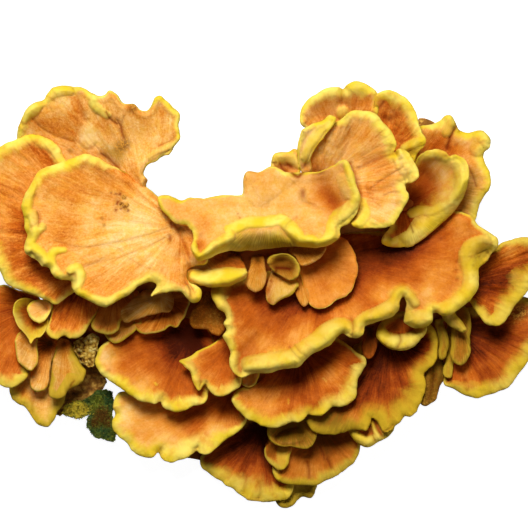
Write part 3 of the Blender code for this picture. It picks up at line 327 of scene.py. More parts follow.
            (486, 262, 98), (491, 255, 101), (497, 248, 105), (498, 240, 107), (493, 235, 107),
            (485, 230, 105), (477, 223, 103), (471, 216, 101), (464, 213, 98), (455, 211, 94),
            (440, 214, 90), (395, 226, 84), (350, 232, 78), (318, 239, 78), (290, 258, 80),
            (250, 268, 82),
        ],
    ),
    "left_knob": dict(
        root=(46, 308, 66), thick=(14, 22), dish=0.5, nose=11,
        rim=[
            (36, 300, 84), (30, 303, 86), (27, 309, 88), (29, 315, 89), (33, 320, 90), (40, 323, 90),
            (46, 320, 89), (51, 312, 86), (53, 305, 82), (45, 300, 80),
        ],
    ),
    "left_curl": dict(
        root=(38, 312, 62), thick=(9, 19), dish=2.6, nose=8,
        rim=[
            (28, 298, 82), (21, 298, 85), (15, 304, 87), (13, 311, 88), (15, 319, 89), (19, 328, 90),
            (24, 333, 90), (28, 338, 90), (31, 344, 89), (35, 339, 90), (41, 337, 90), (45, 332, 89),
            (48, 324, 84), (46, 314, 74), (38, 302, 72),
        ],
    ),
    "left_under": dict(
        root=(86, 280, 62), thick=(11, 26), dish=0.8, nose=9,
        rim=[
            (58, 292, 72), (53, 304, 78), (51, 315, 83), (48, 323, 87), (46, 331, 90), (50, 337, 92),
            (57, 339, 92), (64, 336, 91), (71, 338, 92), (78, 338, 92), (85, 332, 91), (90, 324, 88),
            (98, 310, 80), (104, 292, 70), (98, 272, 62), (72, 274, 64),
        ],
    ),
    "left_under_mid": dict(
        root=(116, 288, 56), thick=(10, 24), dish=0.8, nose=8,
        rim=[
            (99, 304, 74), (94, 316, 81), (91, 325, 85), (94, 331, 87), (103, 334, 88), (112, 334, 88),
            (119, 329, 87), (122, 320, 84), (128, 316, 82), (138, 304, 72), (136, 284, 60),
            (112, 276, 56), (103, 290, 62),
        ],
    ),
    "left_under_low": dict(
        root=(136, 302, 52), thick=(8, 21), dish=0.8, nose=6,
        rim=[
            (108, 318, 64), (103, 331, 72), (109, 340, 76), (117, 343, 77), (125, 339, 77),
            (133, 333, 76), (142, 322, 70), (148, 304, 58), (130, 292, 52), (114, 302, 56),
        ],
    ),
    "left_brown": dict(
        root=(160, 296, 64), thick=(9, 21), dish=0.8, nose=7,
        rim=[
            (128, 304, 78), (121, 311, 81), (121, 318, 83), (126, 323, 84), (133, 321, 84),
            (141, 318, 84), (150, 315, 83), (160, 313, 82), (169, 312, 80), (174, 302, 74),
            (168, 290, 66), (145, 290, 66),
        ],
    ),
    "left_brown_low": dict(
        root=(168, 300, 54), thick=(9, 21), dish=0.8, nose=7,
        rim=[
            (136, 318, 68), (133, 324, 71), (137, 330, 73), (143, 334, 75), (150, 334, 75),
            (157, 333, 75), (165, 330, 75), (170, 326, 74), (177, 327, 74), (182, 321, 72),
            (187, 311, 68), (190, 300, 60), (176, 290, 54), (150, 300, 58),
        ],
    ),
    "middle_dark": dict(
        root=(212, 300, 58), thick=(8, 21), dish=0.8, nose=5,
        rim=[
            (198, 304, 66), (192, 311, 69), (190, 318, 71), (190, 325, 72), (194, 328, 73),
            (201, 329, 73), (208, 330, 73), (213, 334, 73), (219, 336, 73), (224, 331, 72),
            (229, 318, 68), (226, 302, 60), (210, 291, 57),
        ],
    ),
    "left_low_outer": dict(
        root=(34, 304, 54), thick=(11, 26), dish=0.7, nose=10,
        rim=[
            (18, 290, 60), (4, 285, 61), (-8, 288, 62), (-18, 300, 63), (-22, 320, 65), (-23, 340, 67),
            (-20, 358, 70), (-13, 373, 73), (-3, 383, 75), (6, 388, 76), (14, 387, 76), (22, 382, 75),
            (28, 375, 73), (26, 368, 71), (24, 350, 66), (26, 332, 62), (34, 318, 58), (42, 308, 54),
            (38, 296, 54),
        ],
    ),
    "left_low_leaf": dict(
        root=(38, 328, 56), thick=(9, 19), dish=0.8, nose=6,
        rim=[
            (27, 329, 68), (19, 333, 75), (15, 341, 79), (16, 351, 81), (18, 361, 83), (24, 368, 84),
            (31, 371, 84), (37, 365, 81), (38, 354, 74), (37, 342, 66), (44, 328, 56), (37, 322, 56),
        ],
    ),
    "left_low_bud": dict(
        root=(50, 344, 40), thick=(9, 20), dish=0.8, nose=7,
        rim=[
            (34, 364, 58), (30, 374, 64), (30, 382, 67), (33, 390, 69), (39, 392, 70), (45, 390, 70),
            (49, 383, 68), (50, 372, 63), (52, 360, 54), (60, 342, 40), (52, 328, 38), (36, 328, 38),
            (33, 342, 44), (34, 354, 50),
        ],
    ),
    "left_low_wedge": dict(
        root=(64, 344, 54), thick=(9, 21), dish=0.8, nose=6,
        rim=[
            (55, 352, 61), (52, 365, 67), (51, 378, 71), (49, 390, 74), (50, 397, 75), (58, 399, 75),
            (64, 396, 74), (68, 391, 73), (73, 388, 73), (79, 385, 72), (84, 378, 71), (86, 371, 69),
            (82, 365, 67), (78, 356, 62), (72, 344, 55), (69, 341, 54), (60, 339, 54),
        ],
    ),
    "left_low_tip": dict(
        root=(50, 355, 34), thick=(10, 22), dish=0.8, nose=8,
        rim=[
            (16, 374, 44), (10, 384, 49), (9, 391, 51), (12, 399, 53), (18, 404, 54), (26, 408, 55),
            (30, 414, 56), (35, 421, 57), (42, 426, 58), (48, 427, 58), (53, 422, 57), (57, 413, 55),
            (63, 405, 53), (66, 394, 48), (62, 370, 38), (58, 350, 34), (42, 346, 34), (24, 360, 38),
        ],
    ),
    "lower_left": dict(
        root=(192, 334, 46), thick=(12, 29), dish=0.8, nose=10,
        rim=[
            (128, 332, 64), (115, 338, 69), (105, 343, 72), (99, 349, 73), (96, 357, 74), (95, 363, 75),
            (98, 370, 76), (101, 375, 77), (110, 381, 77), (120, 388, 78), (130, 395, 78), (138, 400, 79),
            (148, 403, 79), (155, 404, 79), (160, 402, 78), (163, 407, 79), (168, 410, 79),
            (176, 412, 80), (185, 410, 80), (195, 406, 79), (205, 402, 78), (209, 390, 72),
            (213, 372, 64), (216, 350, 55), (205, 324, 46), (180, 316, 46), (152, 320, 54),
        ],
    ),
    "lower_mid": dict(
        root=(233, 340, 56), thick=(10, 24), dish=0.8, nose=8,
        rim=[
            (215, 342, 68), (200, 350, 75), (189, 357, 81), (179, 361, 84), (184, 366, 87),
            (190, 372, 88), (192, 380, 89), (195, 387, 90), (199, 391, 90), (202, 387, 88),
            (205, 384, 87), (208, 389, 89), (212, 393, 90), (217, 396, 91), (223, 396, 91),
            (231, 392, 90), (240, 387, 89), (242, 381, 87), (241, 370, 80), (243, 354, 68),
            (244, 338, 58), (228, 332, 56),
        ],
    ),
    "lower_mid_bud": dict(
        root=(252, 360, 52), thick=(8, 11), dish=0.8, nose=6,
        rim=[
            (244, 370, 66), (242, 378, 71), (242, 384, 74), (248, 387, 75), (254, 385, 75),
            (258, 378, 72), (260, 368, 65), (258, 358, 57), (246, 360, 57),
        ],
    ),
    "lower_centre": dict(
        root=(300, 344, 50), thick=(12, 29), dish=0.8, nose=11,
        rim=[
            (262, 380, 68), (250, 386, 72), (241, 388, 75), (234, 393, 76), (232, 400, 77),
            (235, 407, 78), (241, 413, 79), (247, 419, 80), (255, 422, 81), (263, 426, 82),
            (273, 428, 82), (283, 426, 82), (292, 422, 82), (298, 423, 82), (304, 419, 82),
            (308, 414, 80), (313, 415, 81), (320, 416, 81), (327, 412, 81), (332, 407, 79),
            (341, 407, 80), (350, 403, 80), (356, 397, 79), (357, 388, 78), (358, 380, 77),
            (362, 372, 76), (366, 364, 75), (365, 358, 73), (357, 352, 69), (345, 343, 62),
            (325, 332, 54), (300, 328, 48), (275, 345, 52), (266, 364, 60),
        ],
    ),
    "lower_right_knob": dict(
        root=(402, 318, 64), thick=(14, 26), dish=0.7, nose=11,
        rim=[
            (381, 322, 76), (377, 329, 82), (377, 337, 85), (381, 343, 87), (388, 348, 88),
            (396, 350, 89), (404, 350, 89), (412, 347, 88), (418, 342, 86), (424, 336, 84),
            (427, 329, 80), (422, 318, 72), (402, 310, 66),
        ],
    ),
    "lower_right_tongue": dict(
        root=(370, 330, 54), thick=(7, 11), dish=0.8, nose=6,
        rim=[
            (363, 338, 62), (361, 348, 67), (364, 356, 70), (369, 359, 71), (374, 356, 70),
            (377, 348, 68), (377, 338, 64), (374, 326, 57), (364, 328, 57),
        ],
    ),
    "lower_right": dict(
        root=(388, 336, 40), thick=(11, 27), dish=0.75, nose=11,
        rim=[
            (414, 322, 50), (428, 323, 56), (435, 329, 60), (438, 338, 63), (438, 348, 65),
            (437, 357, 66), (433, 365, 66), (427, 370, 66), (424, 374, 65), (426, 382, 66),
            (425, 391, 67), (422, 399, 67), (419, 406, 68), (417, 412, 68), (411, 417, 69),
            (405, 416, 69), (401, 421, 69), (396, 426, 69), (391, 431, 69), (385, 433, 68),
            (381, 428, 67), (377, 421, 67), (372, 418, 67), (370, 424, 68), (366, 431, 68),
            (360, 430, 67), (352, 430, 67), (344, 432, 66), (335, 434, 66), (325, 435, 66),
            (316, 433, 65), (310, 428, 64), (306, 420, 62), (312, 408, 58), (330, 385, 50),
            (350, 358, 43), (370, 332, 39),
        ],
    ),
    "lower_right_lip": dict(
        root=(366, 352, 34), thick=(9, 22), dish=0.8, nose=8,
        rim=[
            (346, 420, 50), (348, 430, 52), (352, 438, 53), (358, 444, 54), (366, 447, 55),
            (374, 445, 56), (381, 441, 57), (388, 437, 57), (393, 431, 57), (398, 415, 53),
            (400, 385, 43), (385, 355, 35), (380, 342, 34), (358, 342, 34), (348, 360, 35),
        ],
    ),
    "right_under_tab": dict(
        root=(446, 308, 92), thick=(7, 12), dish=0.8, nose=5,
        rim=[
            (441, 315, 90), (446, 322, 87), (451, 327, 86), (457, 331, 85), (463, 333, 85),
            (467, 330, 85), (464, 324, 86), (458, 317, 87), (453, 309, 90), (448, 302, 92),
            (440, 305, 92),
        ],
    ),
    "right_under_strap": dict(
        root=(440, 324, 54), thick=(8, 11), dish=0.8, nose=5,
        rim=[
            (437, 333, 61), (439, 343, 65), (438, 353, 67), (440, 360, 68), (445, 359, 68),
            (448, 351, 67), (449, 341, 65), (447, 331, 61), (443, 322, 55), (445, 320, 54),
            (435, 320, 54),
        ],
    ),
    "right_under_hang": dict(
        root=(457, 312, 52), thick=(9, 21), dish=0.8, nose=7,
        rim=[
            (452, 320, 60), (451, 332, 65), (451, 345, 69), (450, 357, 72), (455, 363, 73),
            (461, 365, 74), (468, 360, 73), (471, 352, 72), (470, 343, 70), (471, 330, 67),
            (470, 316, 62), (464, 306, 56), (455, 306, 53),
        ],
    ),
    "right_under_drop": dict(
        root=(450, 340, 44), thick=(7, 10), dish=0.8, nose=5,
        rim=[
            (447, 350, 52), (446, 359, 57), (443, 367, 60), (443, 374, 62), (447, 378, 63),
            (451, 377, 63), (453, 370, 61), (454, 361, 57), (454, 348, 50), (455, 336, 44),
            (445, 336, 44),
        ],
    ),
    "right_under_old": dict(
        root=(432, 348, 38), thick=(8, 11), dish=0.8, nose=6,
        rim=[
            (426, 366, 48), (424, 378, 51), (424, 388, 53), (421, 396, 54), (420, 403, 55),
            (425, 406, 55), (431, 403, 55), (436, 400, 54), (438, 394, 53), (440, 387, 52),
            (444, 379, 49), (444, 364, 44), (438, 350, 39), (437, 344, 38), (427, 344, 38),
        ],
    ),
    "right_outer": dict(
        root=(450, 284, 58), thick=(11, 27), dish=0.85, nose=10,
        rim=[
            (470, 266, 70), (481, 260, 75), (489, 253, 79), (497, 247, 82), (504, 242, 84),
            (513, 239, 86), (524, 237, 87), (536, 240, 88), (545, 249, 89), (549, 261, 89),
            (545, 274, 89), (536, 284, 88), (528, 291, 88), (521, 299, 88), (514, 307, 88),
            (509, 316, 88), (503, 323, 88), (497, 326, 88), (490, 326, 87), (484, 322, 86),
            (478, 315, 84), (472, 306, 79), (466, 298, 72), (447, 292, 58), (445, 276, 58),
        ],
    ),
    "right_low_outer": dict(
        root=(456, 328, 42), thick=(11, 27), dish=0.8, nose=10,
        rim=[
            (446, 366, 53), (444, 384, 57), (454, 389, 59), (462, 394, 60), (470, 397, 61),
            (478, 398, 62), (488, 395, 62), (498, 392, 62), (506, 389, 63), (512, 384, 63),
            (517, 376, 63), (523, 368, 63), (531, 357, 63), (540, 344, 62), (545, 328, 62),
            (543, 312, 61), (535, 300, 59), (515, 296, 54), (485, 302, 46), (452, 312, 42),
            (446, 332, 43),
        ],
    ),
    "front_left": dict(
        root=(230, 394, 32), thick=(11, 27), dish=0.75, nose=12,
        rim=[
            (130, 391, 49), (119, 393, 51), (114, 400, 53), (113, 408, 54), (115, 414, 54),
            (112, 421, 55), (113, 430, 56), (118, 436, 57), (126, 442, 57), (131, 450, 58),
            (139, 456, 59), (147, 458, 59), (154, 457, 59), (158, 453, 57), (161, 458, 59),
            (165, 461, 60), (171, 463, 60), (178, 461, 60), (186, 458, 60), (193, 454, 59),
            (196, 451, 57), (201, 454, 59), (208, 454, 59), (214, 450, 59), (220, 444, 58),
            (229, 438, 57), (238, 432, 56), (244, 426, 55), (247, 419, 53), (246, 405, 45),
            (242, 386, 36), (225, 378, 34), (190, 380, 40), (155, 384, 46),
        ],
    ),
    "front_pore_lobe": dict(
        root=(292, 414, 38), thick=(9, 19), dish=1.6, nose=7,
        rim=[
            (272, 422, 54), (267, 430, 58), (268, 437, 60), (274, 444, 62), (282, 447, 63),
            (290, 446, 63), (298, 448, 63), (306, 449, 63), (312, 446, 62), (316, 438, 60),
            (315, 429, 56), (306, 418, 46), (298, 406, 40), (286, 406, 40), (284, 416, 46),
        ],
    ),
    "front_tongue": dict(
        root=(280, 436, 30), thick=(8, 19), dish=0.8, nose=7,
        rim=[
            (268, 443, 44), (264, 450, 47), (265, 457, 49), (269, 463, 50), (274, 467, 51),
            (279, 470, 51), (284, 469, 51), (288, 463, 50), (290, 456, 48), (292, 446, 42),
            (288, 436, 34), (287, 435, 30), (277, 430, 30),
        ],
    ),
    "front_right": dict(
        root=(318, 424, 24), thick=(10, 24), dish=0.75, nose=10,
        rim=[
            (277, 456, 35), (272, 466, 37), (273, 474, 38), (278, 481, 39), (286, 484, 40),
            (295, 485, 40), (305, 485, 40), (315, 486, 40), (322, 483, 40), (330, 479, 40),
            (338, 475, 40), (345, 470, 39), (352, 464, 38), (357, 457, 37), (360, 449, 36),
            (360, 438, 33), (345, 420, 27), (318, 412, 24), (294, 430, 28),
        ],
    ),
    "front_middle": dict(
        root=(262, 430, 12), thick=(9, 22), dish=0.75, nose=12,
        rim=[
            (207, 448, 22), (200, 458, 24), (201, 466, 25), (207, 472, 25), (214, 477, 26),
            (221, 481, 26), (226, 486, 27), (233, 488, 27), (238, 493, 27), (245, 498, 27),
            (251, 501, 27), (258, 502, 27), (266, 502, 27), (275, 501, 27), (284, 500, 27),
            (290, 496, 27), (293, 489, 26), (294, 474, 22), (292, 450, 17), (280, 420, 12),
            (250, 414, 12), (224, 430, 16),
        ],
    ),
    "front_tip": dict(
        root=(286, 450, 8), thick=(6, 8), dish=0.8, nose=5,
        rim=[
            (274, 478, 10), (275, 500, 13), (279, 506, 14), (285, 508, 14), (292, 506, 14),
            (298, 500, 14), (302, 497, 14), (311, 498, 14), (315, 492, 14), (318, 484, 13),
            (312, 462, 10), (298, 442, 8), (278, 440, 8),
        ],
    ),
}

# How each shelf looks. tone goes from 0, pale, to 1, dark red-brown, at its root, half way out and
# next to the margin; its darkness is partly the flesh's own redder colour towards the root and partly
# painted shade where the shelves above cover it. band is the width of the yellow margin, alone or at
# spots as (x, y, width). groove, bead, ruffle, pleat and swell are depths and heights of what its
# surface has all over, and streak, grain and olive are the strengths of its streaks, of its fine
# mottling and of a green-brown cast that is partly the flesh's own and partly painted shade; one more
# strength dulls the yellow of its margin with painted shade, on shelves lower down. rolls are folds
# that stand up, as (rise for each millimetre of radius, yellow, path of (x, y, radius)), creases are
# (width, depth, darkness of the painted shade in them, path), olives are (strength, path of
# (x, y, radius)), and spots and stains are (x, y, radius, amount); spots make the tone lighter or
# darker at places.
PLAIN = dict(
    tone=(0.7, 0.55, 0.4), band=9, groove=0.2, bead=1.0, ruffle=1.5, pleat=1.0, swell=1.4,
    streak=0.28, grain=0.16, olive=0.0, margin_shade=0.0, rolls=(), creases=(), olives=(), spots=(), stains=(),
)
LOOKS = {
    "centre_top": dict(
        tone=(0.2, 0.16, 0.2), bead=0.5, ruffle=0.8, pleat=0.5, streak=0.06, grain=0.28,
        band=(
            (255, 168, 1), (240, 185, 1), (200, 198, 1), (160, 196, 4), (177, 224, 5), (193, 245, 5),
            (205, 259, 12), (222, 252, 13), (240, 251, 18), (285, 248, 18), (300, 248, 12),
            (335, 240, 12), (361, 198, 12), (350, 168, 7), (343, 161, 3), (330, 166, 1),
        ),
        rolls=(
            (0.7, 1.0, ((194, 244, 3), (196, 253, 4), (201, 257, 5), (208, 252, 5), (214, 246, 5.5),
                (222, 241, 6), (229, 237, 6), (231, 231, 5))),
            (0.55, 1.0, ((229, 229, 5), (237, 227, 6), (247, 223, 6), (260, 222, 6), (272, 221, 6),
                (281, 219, 5))),
            (0.5, 1.0, ((280, 220, 6), (287, 224, 7), (294, 231, 7), (301, 239, 6))),
            (0.5, 1.0, ((303, 240, 5), (312, 240, 5.5), (319, 243, 5), (326, 240, 5), (331, 233, 6),
                (332, 225, 6), (337, 217, 7), (346, 211, 7), (354, 203, 6), (357, 195, 5), (353, 184, 5),
                (349, 172, 4.5), (346, 164, 3.5))),
            (0.3, 0.2, ((341, 178, 5), (345, 186, 7), (349, 194, 7))),
            (0.12, 0.0, ((292, 173, 9), (275, 184, 11), (258, 195, 12))),
        ),
        creases=(
            (1.6, 1.6, 0.4, ((281, 229), (287, 236), (294, 243))),
            (8.0, 6.0, 0.5, ((321, 181), (327, 194), (335, 203))),
            (3.0, 2.5, 0.25, ((303, 202), (313, 206), (325, 209), (338, 207), (349, 201))),
            (2.0, 3.0, 0.7, ((303, 192), (303, 196))),
            (1.6, 3.0, 0.95, ((292, 173), (298, 177), (304, 171), (311, 166))),
            (1.3, 2.0, 0.9, ((304, 165), (301, 171))),
            (1.2, 0.8, 0.3, ((297, 217), (288, 223), (282, 233))),
            (4.0, 2.5, 0.2, ((201, 238), (199, 250))), (0.7, 0.3, 0.5, ((238, 214), (240, 218))),
            (0.9, 0.3, 0.2, ((288, 176), (296, 184), (300, 188))),
        ),
        olives=((0.9, ((236, 242, 9), (250, 241, 11), (265, 240, 11), (280, 241, 9), (290, 245, 6))),),
        spots=(
            (305, 220, 18, 0.12), (203, 222, 11, 0.22), (199, 245, 7, 0.3), (185, 206, 12, 0.06),
            (262, 178, 12, 0.14), (325, 192, 13, 0.3), (335, 205, 9, 0.3), (262, 205, 16, -0.08),
        ),
    ),
    "right_fold": dict(
        tone=(0.2, 0.1, 0.05), ruffle=0.5, streak=0.1,
        band=((300, 135, 4), (325, 118, 8), (333, 118, 8), (325, 140, 2), (310, 165, 1)),
        rolls=((0.3, 0.75, ((333, 120, 5), (324, 130, 8), (314, 144, 8), (306, 158, 6))),),
        creases=(
            (1.2, 1.5, 0.5, ((304, 168), (311, 152), (318, 142), (326, 131))),
            (1.2, 0.6, 0.3, ((303, 132), (302, 141))),
        ),
    ),
    "centre_back": dict(
        tone=(0.3, 0.25, 0.15), band=3, ruffle=0.6,
        rolls=((0.4, 0.7, ((276, 158, 6), (283, 158, 6))), (0.4, 0.6, ((291, 159, 6), (298, 163, 6)))),
        creases=(
            (2.0, 2.5, 0.9, ((281, 167), (285, 171))), (2.0, 2.0, 0.9, ((287, 165), (291, 167))),
            (1.2, 1.0, 0.7, ((274, 163), (280, 165))),
        ),
    ),
    "right_fan": dict(
        tone=(0.15, 0.14, 0.2), groove=0.6, bead=1.4, pleat=1.6, streak=0.36, grain=0.34,
        band=(
            (352, 112, 8), (370, 114, 9), (385, 125, 12), (394, 140, 14), (393, 155, 8), (400, 150, 6),
            (412, 160, 12), (415, 175, 12), (404, 182, 8), (408, 195, 9), (398, 215, 7), (385, 227, 6),
            (360, 226, 10), (352, 215, 8), (330, 140, 1), (310, 165, 1),
        ),
        rolls=(
            (0.2, 0.0, ((346, 120, 6), (338, 145, 9), (325, 165, 9))),
            (0.4, 0.85, ((361, 203, 6), (362, 214, 9), (360, 221, 6))),
            (0.3, 0.4, ((398, 155, 7), (405, 168, 8))), (0.5, 0.7, ((343, 112, 6.5), (343, 114, 6.5))),
        ),
        creases=(
            (1.4, 1.3, 0.6, ((396, 153), (385, 156), (372, 161), (358, 168))),
            (5.0, 2.0, 0.22, ((394, 154), (380, 157), (364, 162))),
            (1.0, 1.0, 0.4, ((403, 167), (392, 174), (381, 181), (370, 189))),
            (0.9, 0.8, 0.45, ((400, 192), (392, 192), (384, 195))),
            (2.4, 1.6, 0.3, ((408, 178), (396, 184), (380, 190), (368, 194))),
            (2.2, 1.4, 0.25, ((392, 146), (378, 148), (362, 156))),
            (2.0, 1.4, 0.25, ((398, 204), (386, 204), (372, 200))),
            (1.6, 1.0, 0.3, ((366, 188), (371, 198), (380, 206))),
            (1.3, 1.5, 0.6, ((350, 163), (354, 174), (357, 186), (361, 198), (356, 208), (351, 217))),
            (1.8, 0.8, 0.32, ((353, 118), (348, 125), (349, 133), (344, 141), (339, 147))),
            (1.6, 0.6, 0.25, ((350, 121), (342, 128))),
        ),
        spots=(
            (380, 166, 15, 0.2), (368, 190, 9, 0.18), (386, 187, 10, 0.12), (368, 140, 14, 0.08),
            (338, 150, 12, -0.08), (390, 208, 14, -0.15), (400, 160, 9, -0.2),
        ),
        stains=((377, 134, 9, 0.35),),
    ),
    "right_crown": dict(
        tone=(0.25, 0.22, 0.22), bead=1.4, pleat=1.4, streak=0.35, grain=0.34,
        band=(
            (316, 130, 2), (303, 115, 5), (310, 97, 8), (330, 87, 12), (343, 89, 10), (354, 81, 16),
            (366, 84, 14), (377, 92, 5), (372, 130, 1),
        ),
        rolls=((0.5, 0.7, ((343, 112, 6.5), (343, 114, 6.5))),),
        creases=((1.5, 1.6, 0.35, ((343, 87), (343, 96), (341, 104))),),
        spots=((360, 104, 9, 0.2), (318, 118, 12, 0.08)),
    ),
    "right_hollow": dict(
        tone=(0.6, 0.52, 0.4), groove=0.8, streak=0.4, grain=0.4,
        band=(
            (374, 104, 4), (378, 94, 9), (395, 92, 13), (410, 103, 11), (420, 125, 11), (425, 139, 9),
            (418, 150, 12), (405, 150, 8),
        ),
        rolls=((0.7, 1.0, ((404, 148, 4), (413, 144, 5.5), (423, 140, 5))),),
        creases=(
            (1.6, 1.5, 0.7, ((376, 112), (381, 106), (384, 102))),
            (2.5, 1.5, 0.6, ((385, 118), (390, 120), (394, 114))),
            (1.0, 1.0, 0.5, ((391, 111), (396, 125))), (1.0, 1.0, 0.5, ((400, 109), (399, 128))),
            (1.0, 1.0, 0.45, ((407, 117), (402, 134))), (1.2, 1.0, 0.5, ((395, 130), (400, 142))),
        ),
        olives=((0.8, ((405, 153, 6), (414, 150, 6))),),
        stains=((395, 120, 12, 0.3), (382, 108, 7, 0.3)),
    ),
    "right_cup": dict(
        tone=(0.83, 0.6, 0.35), ruffle=1.0, grain=0.2,
        band=(
            (414, 164, 6), (427, 150, 10), (437, 149, 11), (450, 155, 13), (463, 158, 16), (469, 176, 18),
            (463, 198, 18), (449, 217, 24), (438, 227, 28), (425, 238, 32), (412, 246, 36),
            (399, 248, 36), (385, 244, 20), (385, 234, 4), (395, 215, 1),
        ),
        rolls=(
            (0.35, 0.9, ((412, 213, 5), (422, 210, 5), (432, 211, 5), (442, 205, 5), (452, 198, 5),
                (458, 189, 5), (459, 176, 5), (456, 165, 5))),
            (0.35, 0.7, ((447, 157, 5), (436, 155, 5), (427, 157, 4))),
        ),
        creases=(
            (9.0, 6.0, 0.6, ((410, 203), (424, 197), (430, 186), (425, 173))),
            (0.8, 1.0, 0.7, ((408, 215), (410, 223), (413, 232))),
            (1.6, 1.2, 0.3, ((395, 229), (399, 238), (404, 243))),
            (1.3, 1.0, 0.4, ((386, 233), (390, 240))),
        ),
        olives=((0.45, ((408, 242, 6), (430, 228, 6), (450, 210, 6), (461, 196, 5))),),
        spots=((442, 176, 10, -0.4), (432, 165, 8, -0.2), (444, 192, 7, -0.3)),
    ),
    "right_back": dict(
        tone=(0.45, 0.27, 0.2), grain=0.3,
        band=(
            (420, 127, 3), (446, 116, 9), (455, 121, 7), (467, 133, 6), (484, 132, 12), (489, 150, 10),
            (485, 163, 8), (491, 180, 9), (478, 210, 8), (460, 220, 2),
        ),
        rolls=((0.4, 0.5, ((451, 122, 5), (447, 132, 6))), (0.3, 0.3, ((481, 140, 9), (478, 148, 9)))),
        creases=(
            (1.3, 1.8, 0.85, ((447, 148), (451, 136), (457, 126))),
            (1.1, 1.2, 0.6, ((456, 145), (459, 131))),
            (0.9, 0.8, 0.6, ((469, 168), (473, 177), (476, 186))),
        ),
        olives=((0.6, ((472, 176, 9), (470, 195, 12), (466, 213, 12))),),
        spots=((435, 146, 13, 0.35), (452, 149, 8, 0.3), (473, 152, 9, 0.05)),
        stains=((471, 173, 5, 0.5),),
    ),
    "left_large": dict(
        tone=(0.19, 0.24, 0.3), groove=0.5, bead=1.8, pleat=1.3, streak=0.36, grain=0.42,
        band=(
            (24, 200, 9), (60, 162, 10), (97, 157, 9), (125, 172, 2), (160, 198, 1), (200, 240, 0),
            (188, 275, 0), (203, 292, 7), (160, 292, 9), (120, 299, 7), (90, 301, 8), (50, 268, 8),
            (26, 245, 8),
        ),
        rolls=(
            (0.55, 0.9, ((32, 184, 6), (27, 197, 7), (26, 211, 6.5))),
            (0.6, 0.5, ((33, 214, 5.5), (34, 223, 5))),
            (0.8, 1.0, ((42, 227, 4.5), (36, 231, 5.5), (31, 241, 5), (29, 250, 4))),
            (0.75, 1.0, ((33, 246, 5), (41, 254, 6), (47, 262, 5))),
            (0.7, 1.0, ((64, 250, 3), (55, 251, 4.5), (51, 258, 5), (53, 268, 5.5), (60, 276, 5))),
            (0.8, 1.0, ((70, 270, 4.5), (77, 268, 5.5), (81, 276, 5.5), (77, 287, 5), (80, 296, 4))),
            (0.55, 0.9, ((84, 294, 4), (95, 300, 5.5), (108, 302, 5.5), (120, 296, 5), (134, 288, 4.5),
                (148, 280, 4.5))),
            (0.5, 0.6, ((188, 288, 3.5), (192, 296, 4.5), (198, 296, 4), (199, 291, 3.5))),
            (0.5, 0.0, ((172, 226, 2), (179, 240, 2.2), (185, 252, 2.6), (189, 262, 2.6))),
        ),
        creases=(
            (0.9, 0.5, 0.25, ((185, 222), (150, 234), (110, 244), (80, 247), (55, 241))),
            (0.9, 0.4, 0.25, ((165, 238), (140, 250), (120, 257), (98, 263), (84, 267))),
            (0.8, 0.3, 0.15, ((101, 245), (117, 248), (127, 257), (140, 265), (153, 270))),
            (1.0, 0.5, 1.0, ((120, 194), (118, 202))), (0.9, 0.5, 1.0, ((117, 204), (116, 210))),
            (0.8, 0.3, 0.8, ((111, 193), (116, 194))), (0.8, 0.3, 0.9, ((121, 209), (128, 211))),
            (0.9, 0.9, 0.5, ((37, 212), (40, 219), (38, 226))), (1.3, 1.2, 0.9, ((171, 223), (172, 227))),
            (1.2, 1.0, 0.8, ((170, 236), (170, 240))),
            (1.3, 1.3, 0.5, ((174, 225), (181, 236), (185, 246), (190, 259))),
            (4.0, 2.0, 0.22, ((181, 236), (184, 248), (179, 258))),
            (0.9, 1.2, 0.6, ((186, 283), (190, 289), (190, 297))),
        ),
        spots=(
            (104, 220, 6, 0.15), (62, 226, 20, 0.12), (70, 196, 18, 0.1), (118, 238, 26, -0.16),
            (150, 246, 24, -0.14), (135, 212, 20, -0.1), (85, 208, 12, -0.08), (62, 246, 12, 0.12),
            (95, 180, 18, 0.06), (126, 180, 14, 0.07), (183, 248, 8, 0.12), (176, 272, 12, 0.04),
            (196, 266, 10, -0.15), (110, 282, 22, 0.06),
        ),
        stains=(
            (45, 192, 10, 0.35), (55, 184, 8, 0.3), (60, 200, 10, 0.2), (124, 197, 3.0, 0.95),
            (121, 204, 2.8, 0.9), (127, 205, 3.0, 0.9), (124, 209, 2.6, 0.8), (129, 210, 1.8, 0.5),
            (115, 208, 1.6, 0.5), (102, 218, 3.2, 0.55), (104, 225, 3.4, 0.6), (110, 228, 2.4, 0.3),
            (171, 225, 3, 0.3),
        ),
    ),
    "left_upper": dict(
        tone=(0.2, 0.15, 0.2), groove=0.5, bead=1.4, ruffle=1.0, pleat=0.5, streak=0.42, grain=0.5,
        band=(
            (18, 130, 7), (30, 108, 8), (43, 101, 6), (60, 87, 10), (72, 87, 7), (82, 90, 3), (92, 96, 7),
            (101, 97, 2), (110, 92, 2), (130, 103, 1), (145, 112, 1), (158, 97, 5), (173, 108, 5),
            (180, 125, 4), (178, 140, 5), (165, 152, 4), (152, 161, 2), (145, 172, 1), (150, 190, 1),
            (150, 225, 1),
        ),
        rolls=(
            (0.5, 1.0, ((24, 120, 4), (30, 112, 7), (36, 107, 7), (41, 104, 4))),
            (0.3, 0.6, ((48, 97, 5), (58, 91, 6), (70, 91, 5))),
            (0.6, 0.95, ((95, 97, 4), (93, 103, 5), (98, 109, 5))),
            (0.5, 0.75, ((99, 110, 4.5), (107, 115, 4))),
            (0.5, 0.4, ((178, 140, 3), (170, 146, 4), (162, 150, 4), (150, 157, 3.5))),
            (0.22, 0.0, ((87, 119, 4), (87, 129, 8), (88, 140, 9))),
        ),
        creases=(
            (2.8, 1.8, 0.2, ((75, 88), (78, 100), (81, 112), (85, 120))),
            (1.3, 1.2, 0.25, ((32, 119), (40, 127), (49, 133), (60, 138), (74, 142))),
